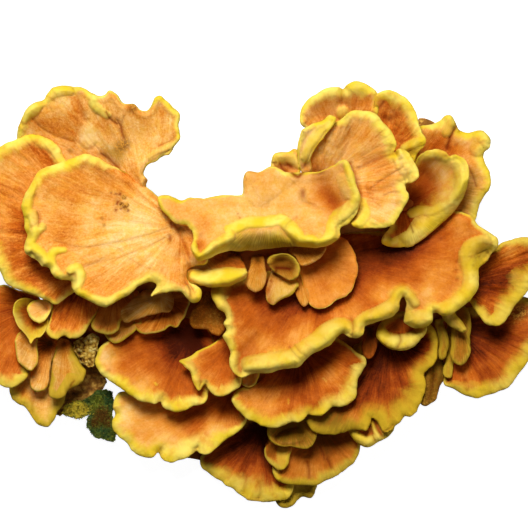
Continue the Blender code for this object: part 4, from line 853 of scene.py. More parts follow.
            (1.0, 0.8, 0.2, ((43, 101), (46, 107))), (1.2, 0.8, 0.15, ((76, 136), (80, 127), (85, 119))),
            (1.2, 1.6, 0.8, ((106, 112), (110, 119), (117, 124))),
            (0.9, 1.2, 0.75, ((117, 120), (121, 127), (122, 133), (124, 138))),
            (0.8, 0.6, 0.5, ((124, 116), (122, 122), (121, 128))),
            (1.3, 1.2, 0.8, ((101, 154), (108, 158), (112, 162), (118, 168))),
            (1.0, 1.0, 0.4, ((159, 146), (166, 143), (173, 140))),
            (1.2, 1.0, 0.5, ((151, 158), (158, 154), (165, 152), (172, 149), (176, 146))),
        ),
        olives=((0.6, ((108, 152, 8), (118, 158, 8))),),
        spots=(
            (79, 104, 10, 0.22), (80, 116, 10, 0.16), (66, 128, 13, 0.16), (50, 120, 12, 0.1),
            (35, 126, 13, 0.15), (88, 131, 8, -0.25), (92, 140, 10, -0.2), (158, 110, 9, 0.12),
            (100, 126, 9, 0.15), (135, 106, 9, 0.3), (62, 112, 12, -0.06),
        ),
        stains=(
            (118, 150, 12, 0.55), (127, 143, 8, 0.4), (110, 100, 8, 0.35), (133, 107, 8, 0.6),
            (120, 122, 13, 0.35), (70, 151, 5, 0.6), (146, 180, 4, 0.7),
        ),
    ),
    "left_outer": dict(
        tone=(0.55, 0.45, 0.4), groove=0.8, streak=0.45, grain=0.35,
        band=((60, 148, 9), (20, 136, 9), (-25, 180, 12), (-10, 257, 14), (20, 290, 10), (55, 305, 5)),
        creases=(
            (1.2, 1.0, 0.3, ((45, 150), (52, 156), (57, 163))),
            (1.3, 0.8, 0.5, ((63, 148), (68, 152), (73, 154))),
        ),
        spots=(
            (30, 148, 12, 0.2), (50, 158, 10, 0.15), (20, 190, 30, -0.05), (40, 260, 30, 0.22),
            (30, 225, 14, 0.1),
        ),
        stains=((68, 152, 5, 0.7),),
    ),
    "centre_lip": dict(
        tone=(0.22, 0.24, 0.3), ruffle=0.6, grain=0.3, olive=0.25,
        band=(
            (190, 262, 0), (188, 272, 3), (200, 284, 3), (220, 286, 3), (240, 276, 2), (246, 268, 0),
            (230, 255, 0),
        ),
        rolls=(
            (0.75, 1.0, ((194, 275, 6), (203, 278, 8), (215, 278, 9.5), (228, 276, 9), (238, 274, 6.5),
                (244, 272, 4))),
        ),
        spots=((228, 256, 14, 0.4), (240, 262, 8, 0.3), (205, 262, 7, -0.35), (195, 266, 6, -0.3)),
    ),
    "centre_disc": dict(
        tone=(0.64, 0.52, 0.39), bead=0.2, ruffle=0.6, pleat=0.6, streak=0.14,
        band=((340, 240, 0), (355, 253, 0.3), (357, 270, 0.5), (346, 297, 1), (322, 309, 1)),
    ),
    "centre_frill": dict(tone=(0.4, 0.35, 0.35), band=0, ruffle=0.6, grain=0.4, olive=0.4),
    "centre_curl": dict(
        tone=(0.6, 0.5, 0.3), bead=0.6, ruffle=0.4, grain=0.3, olive=0.75, margin_shade=0.8,
        band=((268, 262, 1), (275, 256, 4), (290, 254, 5), (299, 264, 5), (298, 276, 3), (285, 280, 0)),
        rolls=(
            (0.5, 0.55, ((269, 262, 3), (279, 256, 3.5), (291, 257, 4), (298, 265, 4), (296, 275, 3.5))),
        ),
        creases=(
            (1.8, 2.0, 1.0, ((276, 268), (283, 268), (290, 269))),
            (1.4, 1.5, 1.0, ((276, 271), (274, 276))),
        ),
    ),
    "centre_knob": dict(
        tone=(0.75, 0.4, 0.3), band=0, bead=0.6, ruffle=0.4, pleat=0.2, grain=0.3, olive=0.45,
    ),
    "centre_leaf": dict(
        tone=(0.45, 0.22, 0.14), bead=0.6, ruffle=0.4, pleat=0.3, grain=0.3, olive=0.3, margin_shade=0.6,
        band=((270, 275, 0), (268, 290, 0), (272, 301, 1), (285, 294, 3), (297, 285, 4), (296, 276, 0)),
        rolls=((0.2, 0.3, ((290, 284, 7), (281, 291, 8), (274, 299, 4))),),
        creases=(
            (2.0, 1.2, 0.4, ((270, 284), (268, 293), (270, 301))),
            (1.2, 1.5, 0.9, ((275, 274), (271, 281))),
        ),
        spots=((267, 290, 4, 0.4), (268, 302, 4, 0.3)),
        stains=((273, 276, 4, 0.7), (270, 286, 3, 0.5)),
    ),
    "centre_bud": dict(tone=(0.5, 0.35, 0.35), band=0, bead=0.5, ruffle=0.3, pleat=0.2, olive=0.3),
    "middle": dict(
        tone=(0.82, 0.74, 0.52), bead=1.0, pleat=1.8, streak=0.2, margin_shade=0.2,
        band=(
            (213, 284, 14), (214, 300, 15), (224, 315, 8), (225, 335, 9), (230, 350, 8), (236, 373, 6),
            (250, 374, 17), (285, 370, 18), (305, 361, 15), (331, 345, 13), (343, 333, 11),
            (360, 336, 11), (370, 323, 12), (399, 309, 14), (403, 297, 11), (420, 328, 12),
            (433, 320, 12), (450, 315, 13), (473, 297, 19), (479, 278, 20), (486, 262, 13), (497, 245, 9),
            (480, 224, 4), (465, 214, 2), (440, 220, 1), (340, 240, 1),
        ),
        rolls=(
            (0.5, 0.8, ((248, 364, 8), (262, 362, 9), (278, 360, 9), (292, 357, 9), (303, 350, 9),
                (316, 341, 9), (328, 332, 10), (340, 326, 9), (348, 327, 7), (352, 330, 5))),
            (0.6, 0.8, ((356, 332, 5), (358, 324, 6), (366, 317, 6), (376, 314, 7), (387, 309, 8),
                (394, 303, 7), (398, 294, 6), (403, 291, 5), (410, 296, 5), (415, 303, 5))),
            (0.5, 0.8, ((410, 318, 6), (420, 318, 9), (428, 315, 7))),
            (0.45, 0.8, ((436, 308, 5), (446, 308, 8), (458, 303, 9), (468, 294, 10), (471, 282, 9),
                (470, 270, 8), (467, 256, 9), (472, 247, 9), (484, 242, 8))),
            (0.6, 0.8, ((217, 291, 7), (218, 301, 8), (225, 309, 6), (228, 318, 4.5), (228, 325, 4))),
            (0.5, 0.7, ((228, 326, 4.5), (227, 332, 4.5), (230, 339, 4), (231, 347, 4.5))),
            (0.4, 0.3, ((233, 359, 6), (236, 370, 6))),
        ),
        creases=(
            (1.1, 1.0, 0.35, ((457, 262), (471, 257))), (1.1, 1.0, 0.35, ((456, 271), (473, 266))),
            (1.1, 1.0, 0.35, ((457, 280), (474, 276))),
            (1.3, 1.6, 0.5, ((479, 257), (482, 251), (488, 252), (490, 258), (485, 262))),
            (5.0, 4.0, 0.3, ((256, 338), (246, 351), (240, 363), (239, 372))),
            (0.8, 0.5, 0.35, ((290, 347), (294, 353), (300, 359))),
            (0.8, 0.5, 0.3, ((295, 345), (300, 352), (306, 356))),
            (5.0, 4.0, 0.3, ((482, 251), (484, 256))),
            (4.0, 4.0, 0.5, ((402, 313), (406, 307), (404, 302))),
            (0.6, 0.4, 0.2, ((457, 262), (474, 261))), (0.6, 0.4, 0.25, ((455, 271), (477, 269))),
            (0.6, 0.4, 0.2, ((457, 279), (474, 276))), (0.6, 0.4, 0.2, ((459, 249), (470, 247))),
            (1.1, 1.2, 0.5, ((352, 336), (353, 326), (351, 319))),
            (1.3, 0.8, 0.5, ((441, 239), (442, 226))),
        ),
        olives=(
            (0.5, ((480, 252, 8), (486, 250, 8))), (0.4, ((404, 325, 5), (418, 328, 5), (430, 324, 5))),
        ),
        spots=(
            (400, 238, 26, 0.22), (372, 250, 16, 0.1), (285, 300, 26, 0.1), (405, 252, 34, 0.14),
            (432, 276, 22, -0.2), (300, 336, 18, -0.25), (266, 346, 12, -0.25), (345, 312, 16, -0.18),
            (383, 290, 13, -0.2), (428, 292, 9, -0.25), (462, 228, 14, -0.1),
        ),
        stains=((455, 226, 9, 0.3), (392, 279, 7, 0.15)),
    ),
    "left_curl": dict(tone=(0.65, 0.6, 0.5), band=9, olive=0.15, margin_shade=0.2),
    "left_knob": dict(
        tone=(0.15, 0.15, 0.2), ruffle=0.4,
        band=((28, 310, 2), (40, 322, 7), (52, 305, 2)),
    ),
    "left_under": dict(
        tone=(0.8, 0.68, 0.45), groove=0.9, streak=0.5, grain=0.2, margin_shade=0.6,
        band=(
            (56, 300, 0), (50, 312, 1), (47, 322, 2), (47, 331, 7), (60, 337, 8), (74, 337, 8),
            (84, 330, 6), (90, 322, 3), (92, 310, 0), (94, 298, 0),
        ),
        creases=(
            (1.2, 0.8, 0.5, ((66, 290), (63, 306), (60, 318))),
            (1.2, 0.8, 0.5, ((72, 288), (70, 305), (66, 320))),
            (1.0, 0.8, 0.4, ((60, 292), (57, 305), (54, 316))),
        ),
    ),
    "left_under_mid": dict(
        tone=(0.45, 0.36, 0.4), streak=0.4, olive=0.2, margin_shade=0.6,
        band=(
            (92, 316, 3), (94, 326, 5), (100, 332, 5), (112, 335, 4), (120, 326, 3), (118, 305, 0),
            (95, 300, 0),
        ),
    ),
    "left_under_low": dict(tone=(0.15, 0.15, 0.25), band=3, olive=0.4, margin_shade=0.6),
    "left_brown": dict(tone=(0.2, 0.15, 0.25), band=0, streak=0.5, olive=0.5),
    "left_brown_low": dict(tone=(0.55, 0.5, 0.45), band=2, streak=0.5, olive=0.25),
    "left_low_outer": dict(
        tone=(0.7, 0.68, 0.55), groove=0.4, streak=0.3, margin_shade=0.4,
        band=((17, 310, 1), (15, 345, 1), (28, 370, 5), (15, 387, 12), (0, 384, 12), (-10, 360, 6)),
    ),
    "left_low_leaf": dict(
        tone=(0.5, 0.24, 0.2), band=1.5, streak=0.4, grain=0.4, olive=0.2, margin_shade=0.6,
        rolls=((0.2, 0.5, ((41, 370, 1), (52, 352, 1))),),
    ),
    "left_low_bud": dict(
        tone=(0.9, 0.6, 0.15), groove=0.9, streak=0.5, grain=0.35, olive=0.2, margin_shade=0.8,
        band=((30, 374, 0.5), (40, 392, 1.5), (50, 378, 0.5), (44, 330, 0)),
    ),
    "left_low_wedge": dict(
        tone=(0.8, 0.4, 0.2), streak=0.4, grain=0.4, olive=0.35, margin_shade=0.9,
        band=(
            (51, 365, 0), (50, 385, 4), (52, 397, 14), (66, 396, 22), (80, 385, 24), (86, 374, 18),
            (80, 358, 8), (64, 342, 0),
        ),
        creases=((1.0, 1.0, 0.7, ((70, 391), (71, 385), (74, 381))),),
    ),
    "left_low_tip": dict(
        tone=(0.1, 0.1, 0.15), band=10, grain=0.4, olive=0.15, margin_shade=0.8,
        creases=((1.4, 1.5, 0.3, ((33, 392), (33, 402), (31, 414))),),
        spots=((20, 392, 8, 0.3), (45, 402, 10, 0.1)),
    ),
    "middle_dark": dict(
        tone=(0.8, 0.65, 0.55), band=0, grain=0.8, olive=0.5,
        stains=((214, 318, 12, 0.5),),
    ),
    "lower_left": dict(
        tone=(1.0, 0.82, 0.55), bead=0.4, streak=0.18,
        band=(
            (113, 342, 2), (98, 350, 4), (97, 370, 6), (120, 386, 10), (150, 402, 13), (161, 404, 9),
            (175, 411, 14), (200, 404, 10), (206, 396, 5), (205, 350, 1), (160, 335, 0),
        ),
        rolls=(
            (0.5, 0.5, ((155.5, 383.5, 1.6), (156.5, 384.5, 1.6))),
            (0.15, 0.0, ((115, 345, 7), (105, 352, 8), (103, 366, 8))),
        ),
        creases=(
            (1.2, 1.2, 0.35, ((158, 404), (161, 399), (164, 395))),
            (0.8, 0.3, 0.25, ((179, 364), (170, 381), (163, 394))),
            (1.4, 0.5, 0.15, ((133, 384), (144, 379), (149, 385))),
        ),
        spots=(
            (105, 350, 14, -0.3), (110, 366, 14, -0.22), (150, 362, 22, -0.1), (185, 375, 18, -0.08),
            (145, 386, 14, -0.25), (120, 335, 14, 0.15), (190, 345, 25, 0.1),
        ),
    ),
    "lower_mid": dict(
        tone=(0.98, 0.72, 0.45), bead=0.4, streak=0.18, margin_shade=0.4,
        band=(
            (205, 345, 2), (181, 360, 6), (183, 368, 9), (192, 378, 10), (197, 388, 8), (203, 381, 4),
            (210, 393, 9), (222, 396, 11), (238, 386, 8), (236, 370, 1), (228, 345, 0),
        ),
        rolls=((0.3, 0.5, ((187, 363, 6), (191, 370, 6))),),
        creases=(
            (1.1, 1.3, 0.5, ((206, 382), (207, 389), (211, 394))),
            (1.0, 1.0, 0.35, ((200, 398), (199, 390), (202, 382))),
        ),
        spots=((190, 364, 9, -0.2), (215, 372, 14, -0.08)),
    ),
    "lower_mid_bud": dict(tone=(0.0, 0.0, 0.1), band=2, olive=0.3),
    "lower_centre": dict(
        tone=(0.82, 0.8, 0.6), bead=0.4, streak=0.25, margin_shade=0.3,
        band=(
            (240, 388, 3), (233, 395, 5), (236, 408, 8), (250, 420, 11), (275, 427, 12), (300, 418, 12),
            (312, 408, 8), (325, 411, 12), (345, 403, 16), (357, 395, 16), (358, 375, 14), (365, 360, 6),
            (355, 352, 3), (320, 352, 1), (260, 375, 0),
        ),
        rolls=(
            (0.1, 0.3, ((323, 378, 0.9), (326, 381, 1.0))),
            (0.1, 0.3, ((288.5, 399, 1.0), (288.5, 404, 1.0))),
        ),
        creases=((1.6, 2.0, 0.35, ((309, 418), (312, 411), (316, 405))),),
        olives=((0.45, ((357, 394, 5), (361, 372, 4), (364, 362, 4))),),
        spots=(
            (240, 398, 14, -0.25), (270, 402, 20, -0.22), (325, 375, 18, -0.22), (338, 372, 12, -0.12),
            (300, 378, 18, 0.05),
        ),
    ),
    "lower_right": dict(
        tone=(0.99, 0.93, 0.7), bead=0.5, streak=0.3, margin_shade=1,
        band=(
            (437, 340, 7), (436, 360, 12), (424, 372, 12), (426, 385, 15), (420, 405, 20), (405, 414, 18),
            (392, 425, 14), (380, 440, 18), (366, 445, 16), (352, 440, 10), (345, 415, 5), (345, 400, 1),
        ),
        rolls=((0.3, 0.5, ((373, 420, 3), (379, 430, 3))),),
        creases=(
            (1.0, 1.4, 0.7, ((373, 421), (379, 430), (383, 439))),
            (1.0, 1.4, 0.7, ((371, 430), (375, 437), (379, 442))),
            (0.9, 1.2, 0.6, ((355, 429), (366, 436), (371, 431))),
            (0.9, 1.0, 0.5, ((384, 431), (389, 429), (393, 425))),
        ),
        olives=((0.85, ((318, 418, 14), (340, 424, 16))),),
        spots=((375, 410, 12, -0.1), (395, 372, 25, -0.1), (355, 420, 10, -0.25), (412, 375, 8, -0.1)),
    ),
    "lower_right_tongue": dict(tone=(0.95, 0.88, 0.73), band=0, olive=0.2),
    "lower_right_lip": dict(
        tone=(0.7, 0.5, 0.35), band=6, olive=0.2, margin_shade=0.4,
        rolls=(
            (0.4, 1.0, ((351, 427, 4), (357, 436, 5), (366, 441, 5), (374, 438, 4))),
            (0.6, 0.9, ((371, 419, 2.4), (374, 428, 2.6), (379, 438, 2.6))),
            (0.6, 0.9, ((376, 418, 2.2), (382, 426, 2.6), (388, 433, 2.6))),
        ),
        creases=(
            (0.9, 1.2, 0.7, ((374, 420), (378, 429), (383, 437))),
            (0.9, 1.2, 0.6, ((368, 422), (371, 431), (375, 441))),
            (1.0, 1.0, 0.5, ((352, 425), (362, 432), (369, 431))),
        ),
    ),
    "lower_right_knob": dict(
        tone=(0.8, 0.6, 0.3), band=6, bead=0.5, olive=0.1, margin_shade=0.2,
        rolls=(
            (0.55, 1.0, ((381, 330, 5), (386, 338, 7), (397, 342, 8), (409, 340, 7.5), (419, 334, 6))),
        ),
        creases=(
            (1.2, 1.4, 0.5, ((389, 331), (385, 345))),
            (1.2, 1.6, 0.6, ((399, 333), (401, 340), (397, 349))),
            (1.0, 1.0, 0.4, ((407, 334), (408, 347))), (1.0, 1.0, 0.4, ((414, 331), (416, 342))),
        ),
    ),
    "front_left": dict(
        tone=(0.66, 0.56, 0.32), bead=0.4, streak=0.2,
        band=(
            (120, 395, 5), (114, 410, 8), (113, 422, 10), (125, 442, 13), (148, 457, 16), (159, 452, 14),
            (172, 461, 17), (193, 452, 16), (202, 454, 16), (215, 445, 13), (232, 434, 7), (246, 422, 3),
            (240, 410, 0), (180, 400, 0),
        ),
        creases=(
            (1.3, 1.8, 0.4, ((159, 457), (159, 452), (161, 448))),
            (1.5, 1.8, 0.4, ((194, 455), (195, 450), (198, 447))),
        ),
        spots=(
            (214, 428, 11, -0.3), (235, 424, 9, 0.1), (125, 412, 14, -0.25), (165, 440, 30, -0.12),
            (185, 408, 22, 0.15), (195, 425, 12, 0.06),
        ),
    ),
    "front_middle": dict(
        tone=(0.98, 0.83, 0.55), groove=0.5, bead=0.4, streak=0.3, margin_shade=0.5,
        band=(
            (200, 455, 3), (206, 468, 8), (222, 480, 14), (240, 493, 20), (258, 501, 20), (280, 500, 18),
            (292, 492, 12), (295, 480, 4), (290, 450, 1),
        ),
        creases=(
            (1.3, 1.3, 0.35, ((244, 472), (246, 480), (244, 492))),
            (1.2, 1.2, 0.25, ((226, 468), (228, 478))),
            (1.4, 1.3, 0.35, ((259, 482), (261, 492), (258, 500))),
            (1.1, 1.0, 0.25, ((270, 484), (273, 495))),
        ),
        spots=((225, 445, 20, 0.1), (255, 470, 16, -0.1)),
    ),
    "front_right": dict(
        tone=(1.0, 0.8, 0.5), bead=0.3, streak=0.2, olive=0.3, margin_shade=0.7,
        band=(
            (273, 468, 6), (275, 480, 6), (290, 485, 7), (310, 485, 7), (330, 478, 10), (345, 468, 9),
            (358, 455, 5), (355, 445, 2),
        ),
        rolls=((0.4, 0.8, ((274, 469, 3), (277, 478, 4))),),
        creases=(
            (1.2, 1.2, 0.6, ((307, 462), (309, 470), (309, 478))),
            (1.1, 1.0, 0.6, ((327, 459), (329, 463), (331, 468))),
            (0.9, 0.8, 0.5, ((320, 447), (323, 453), (324, 459))),
        ),
        olives=((0.5, ((350, 445, 8), (355, 458, 7), (342, 470, 5))),),
        spots=((310, 465, 16, -0.15), (335, 468, 10, -0.1)),
        stains=((318, 462, 14, 0.22), (340, 458, 10, 0.25)),
    ),
    "front_tongue": dict(
        tone=(0.7, 0.5, 0.5), bead=0.5, ruffle=0.5, olive=0.4, margin_shade=0.7,
        band=((268, 443, 0), (264, 452, 2), (270, 464, 6), (279, 470, 8), (288, 463, 6), (291, 448, 0)),
        rolls=((0.2, 0.75, ((283, 450, 6), (282, 460, 6), (282, 467, 3))),),
        spots=((270, 453, 6, 0.25),),
    ),
    "front_pore_lobe": dict(
        tone=(0.7, 0.6, 0.4), band=3, bead=0.4, ruffle=0.6, swell=2.6, streak=0.08, grain=0.9, olive=1.0,
        margin_shade=1,
        rolls=((0.4, 0.35, ((268, 430, 2.5), (272, 438, 3), (280, 444, 3))),),
        creases=(
            (1.2, 1.5, 0.5, ((297, 427), (283, 431), (276, 437), (279, 443), (292, 444), (303, 441))),
        ),
        stains=((290, 436, 10, 0.35),),
    ),
    "front_tip": dict(tone=(0.1, 0.05, 0.1), band=18, grain=0.5, olive=0.35, margin_shade=0.9),
    "right_outer": dict(
        tone=(0.95, 0.9, 0.62), groove=0.9, bead=0.5, streak=0.45, grain=0.25, margin_shade=0.6,
        band=(
            (500, 243, 5), (512, 240, 7), (528, 240, 12), (534, 275, 20), (528, 290, 20), (518, 302, 17),
            (505, 318, 17), (492, 326, 15), (480, 320, 9), (470, 304, 5), (478, 275, 1), (488, 258, 1),
        ),
        rolls=((0.3, 0.6, ((474, 308, 3), (482, 318, 4), (490, 322, 4))),),
        creases=(
            (2.4, 1.0, 0.4, ((486, 280), (499, 276), (511, 278))),
            (2.0, 1.0, 0.4, ((484, 294), (494, 291), (503, 292))),
        ),
        spots=((510, 252, 12, -0.25), (500, 296, 12, -0.12), (505, 268, 12, 0.08)),
    ),
    "right_low_outer": dict(
        tone=(1.0, 0.85, 0.62), groove=0.5, bead=0.5, streak=0.3, margin_shade=0.6,
        band=(
            (540, 320, 6), (535, 355, 14), (528, 364, 14), (512, 388, 12), (490, 393, 12), (475, 398, 12),
            (462, 392, 8), (448, 385, 5), (440, 380, 3),
        ),
        rolls=((0.2, 0.4, ((455, 383, 3), (463, 386, 4))), (0.2, 0.4, ((472, 384, 4), (482, 387, 4)))),
        creases=(
            (1.3, 1.5, 0.6, ((465, 380), (467, 390))),
            (0.9, 0.8, 0.3, ((512, 346), (524, 352), (532, 358))),
            (0.9, 0.8, 0.3, ((502, 330), (518, 338), (530, 344))),
        ),
        spots=((495, 365, 16, -0.1), (470, 372, 12, -0.15)),
        stains=((520, 312, 13, 0.7),),
    ),
    "right_under_tab": dict(tone=(0.3, 0.2, 0.2), band=10, grain=0.4, olive=0.45, margin_shade=0.6),
    "right_under_strap": dict(tone=(0.5, 0.5, 0.6), band=5, grain=0.5, olive=0.75, margin_shade=0.8),
    "right_under_hang": dict(
        tone=(0.45, 0.4, 0.45), band=5, groove=0.9, streak=0.5, grain=0.5, olive=0.75, margin_shade=0.8,
    ),
    "right_under_drop": dict(tone=(0.6, 0.55, 0.5), band=6, grain=0.4, olive=0.5, margin_shade=0.8),
    "right_under_old": dict(
        tone=(0.75, 0.7, 0.8), band=0, groove=0.9, swell=2.4, grain=0.7, olive=0.8,
        creases=(
            (1.6, 1.6, 0.7, ((434, 375), (432, 388), (428, 400))),
            (1.4, 1.4, 0.6, ((441, 378), (438, 390))),
        ),
        stains=((432, 390, 14, 0.5), (428, 402, 7, 0.6)),
    ),
}


# ---- geometry ----


def place(x, y, z):
    """True positions in metres of points drawn at x, y on the sheet, z millimetres above the cut."""
    shrink = (EYE_HEIGHT - z) / (EYE_HEIGHT - SHEET_HEIGHT)
    true_x = SHEET_EYE[0] + (x - SHEET_EYE[0]) * shrink - SHEET_ORIGIN[0]
    true_y = SHEET_ORIGIN[1] - SHEET_EYE[1] - (y - SHEET_EYE[1]) * shrink
    return np.stack([true_x, true_y, z], axis=-1) * MM


def noise(x, y, seed):
    """Smooth noise between -1 and 1 with features about one unit wide."""

    def corner(column, row):
        """A number between -1 and 1 that is scattered, but always the same at one corner."""
        number = (column * 374761393 + row * 668265263 + seed * 144665) & 0xFFFFFFFF
        number = ((number ^ (number >> 13)) * 1274126177) & 0xFFFFFFFF
        return ((number ^ (number >> 16)) & 0xFFFF) / 32767.5 - 1.0

    x, y = np.broadcast_arrays(np.asarray(x, float), np.asarray(y, float))
    left, low = np.floor(x).astype(np.int64), np.floor(y).astype(np.int64)
    u, v = x - left, y - low
    u, v = u * u * (3 - 2 * u), v * v * (3 - 2 * v)
    bottom = corner(left, low) * (1 - u) + corner(left + 1, low) * u
    top = corner(left, low + 1) * (1 - u) + corner(left + 1, low + 1) * u
    return bottom * (1 - v) + top * v


def closed_curve(knots, spacing):
    """Points along a smooth closed curve through the knots, whose first two columns are x and y."""
    rows = []
    for i in range(len(knots)):
        p0, p1, p2, p3 = (knots[(i + k) % len(knots)] for k in (-1, 0, 1, 2))
        gaps = [math.sqrt(np.hypot(*(b - a)[:2])) for a, b in ((p0, p1), (p1, p2), (p2, p3))]
        t0, t1, t2, t3 = np.cumsum([0.0, *gaps])
        count = max(2, round(gaps[1] ** 2 / spacing))
        t = (t1 + (t2 - t1) * np.arange(count) / count)[:, None]
        a1 = ((t1 - t) * p0 + (t - t0) * p1) / (t1 - t0)
        a2 = ((t2 - t) * p1 + (t - t1) * p2) / (t2 - t1)
        a3 = ((t3 - t) * p2 + (t - t2) * p3) / (t3 - t2)
        b1 = ((t2 - t) * a1 + (t - t0) * a2) / (t2 - t0)
        b2 = ((t3 - t) * a2 + (t - t1) * a3) / (t3 - t1)
        rows.append(((t2 - t) * b1 + (t - t1) * b2) / (t2 - t1))
    return np.concatenate(rows)


def inward(outline):
    """The unit direction into the outline at each of its points."""
    along = np.roll(outline, -1, axis=0) - np.roll(outline, 1, axis=0)
    along /= np.linalg.norm(along, axis=1, keepdims=True)
    x, y = outline.T
    turns_left = (x * np.roll(y, -1) - np.roll(x, -1) * y).sum() > 0
    normal = np.stack([-along[:, 1], along[:, 0]], axis=1)
    return normal if turns_left else -normal


def nearest(points, outline):
    """Each point's distance from the closed outline, and the number of the side it is nearest to."""
    distance, side = np.empty(len(points)), np.empty(len(points), int)
    along = np.roll(outline, -1, axis=0) - outline
    for start in range(0, len(points), BLOCK):
        some = slice(start, start + BLOCK)
        offset = points[some, None] - outline[None]
        share = np.clip((offset * along).sum(2) / (along**2).sum(1), 0.0, 1.0)
        length = np.linalg.norm(offset - share[..., None] * along, axis=2)
        side[some] = length.argmin(1)
        distance[some] = length.min(1)
    return distance, side


def inside(points, outline):
    """Whether each point is within the closed outline."""
    within = np.zeros(len(points), bool)
    for (x0, y0), (x1, y1) in zip(outline, np.roll(outline, -1, axis=0)):
        if y0 != y1:
            spans = (y0 > points[:, 1]) != (y1 > points[:, 1])
            crossing = x0 + (points[:, 1] - y0) * (x1 - x0) / (y1 - y0)
            within ^= spans & (points[:, 0] < crossing)
    return within


def staggered(outline, spacing, least):
    """A staggered grid of points within the outline, at least so far from it."""
    (left, low), (right, high) = outline.min(0), outline.max(0)
    xs, ys = np.arange(left, right, spacing), np.arange(low, high, spacing * ROW_SPACING)
    x, y = np.meshgrid(xs, ys)
    x[1::2] += spacing / 2
    grid = np.stack([x.ravel(), y.ravel()], axis=1)
    grid = grid[inside(grid, outline)]
    return grid[nearest(grid, outline)[0] > least]


def triangles_over(outline, points):
    """Triangles between the outline and the points within it, as rows of numbers into both."""
    flat = [Vector(point) for point in (*outline, *points)]
    inner_side, closeness = 1, 1e-5
    made = delaunay_2d_cdt(flat, [], [list(range(len(outline)))], inner_side, closeness)
    if not all(made[3]):
        raise ValueError("the outline crosses itself")
    given = np.array([numbers[0] for numbers in made[3]])
    return given[np.array(made[2])]


def ring_mean(values, radius):
    """Values around a closed ring, each averaged over so many neighbours on both sides."""
    return sum(np.roll(values, k, axis=0) for k in range(-radius, radius + 1)) / (2 * radius + 1)


def spread(points, spots):
    """Values given at a few spots (x, y, value), carried to every point. One value alone is even."""
    if not isinstance(spots, tuple):
        return np.full(len(points), float(spots))
    spots = np.array(spots, float)
    square = ((points[:, None] - spots[None, :, :2]) ** 2).sum(2)
    near = 1.0 / (square + SPOT_BLUR**2) ** 1.5
    return near @ spots[:, 2] / near.sum(1)


def beside(points, path):
    """Each point's distance from an open path, and the path's third value at the nearest place."""
    path = np.array(path, float)
    start, along = path[:-1], path[1:] - path[:-1]
    offset = points[:, None] - start[None, :, :2]
    share = (offset * along[:, :2]).sum(2) / (along[:, :2] ** 2).sum(1)
    share = np.clip(share, 0.0, 1.0)
    length = np.linalg.norm(offset - share[..., None] * along[:, :2], axis=2)
    best = length.argmin(1)
    rows = np.arange(len(points))
    third = start[best, 2] + share[rows, best] * along[best, 2] if path.shape[1] > 2 else None
    return length[rows, best], third


def blobs(points, spots):
    """The sum of soft round spots, each as (x, y, radius, amount)."""
    total = np.zeros(len(points))
    for x, y, radius, amount in spots:
        square = ((points - (x, y)) ** 2).sum(1) / radius**2
        total += amount * np.exp(-square)
    return total


def round_path(path, spacing=3.0):
    """An open path with its corners rounded."""
    path = np.array(path, float)
    if len(path) < 3:
        return path
    ends = np.array([2 * path[0] - path[1], *path, 2 * path[-1] - path[-2]])
    rows = []
    for i in range(1, len(ends) - 2):
        p0, p1, p2, p3 = ends[i - 1 : i + 3]
        count = max(2, round(np.hypot(*(p2 - p1)[:2]) / spacing))
        t = (np.arange(count) / count)[:, None]
        rows.append(
            0.5 * (2 * p1 + (p2 - p0) * t + (2 * p0 - 5 * p1 + 4 * p2 - p3) * t**2
                   + (3 * p1 - p0 - 3 * p2 + p3) * t**3)
        )
    return np.concatenate([*rows, path[-1:]])


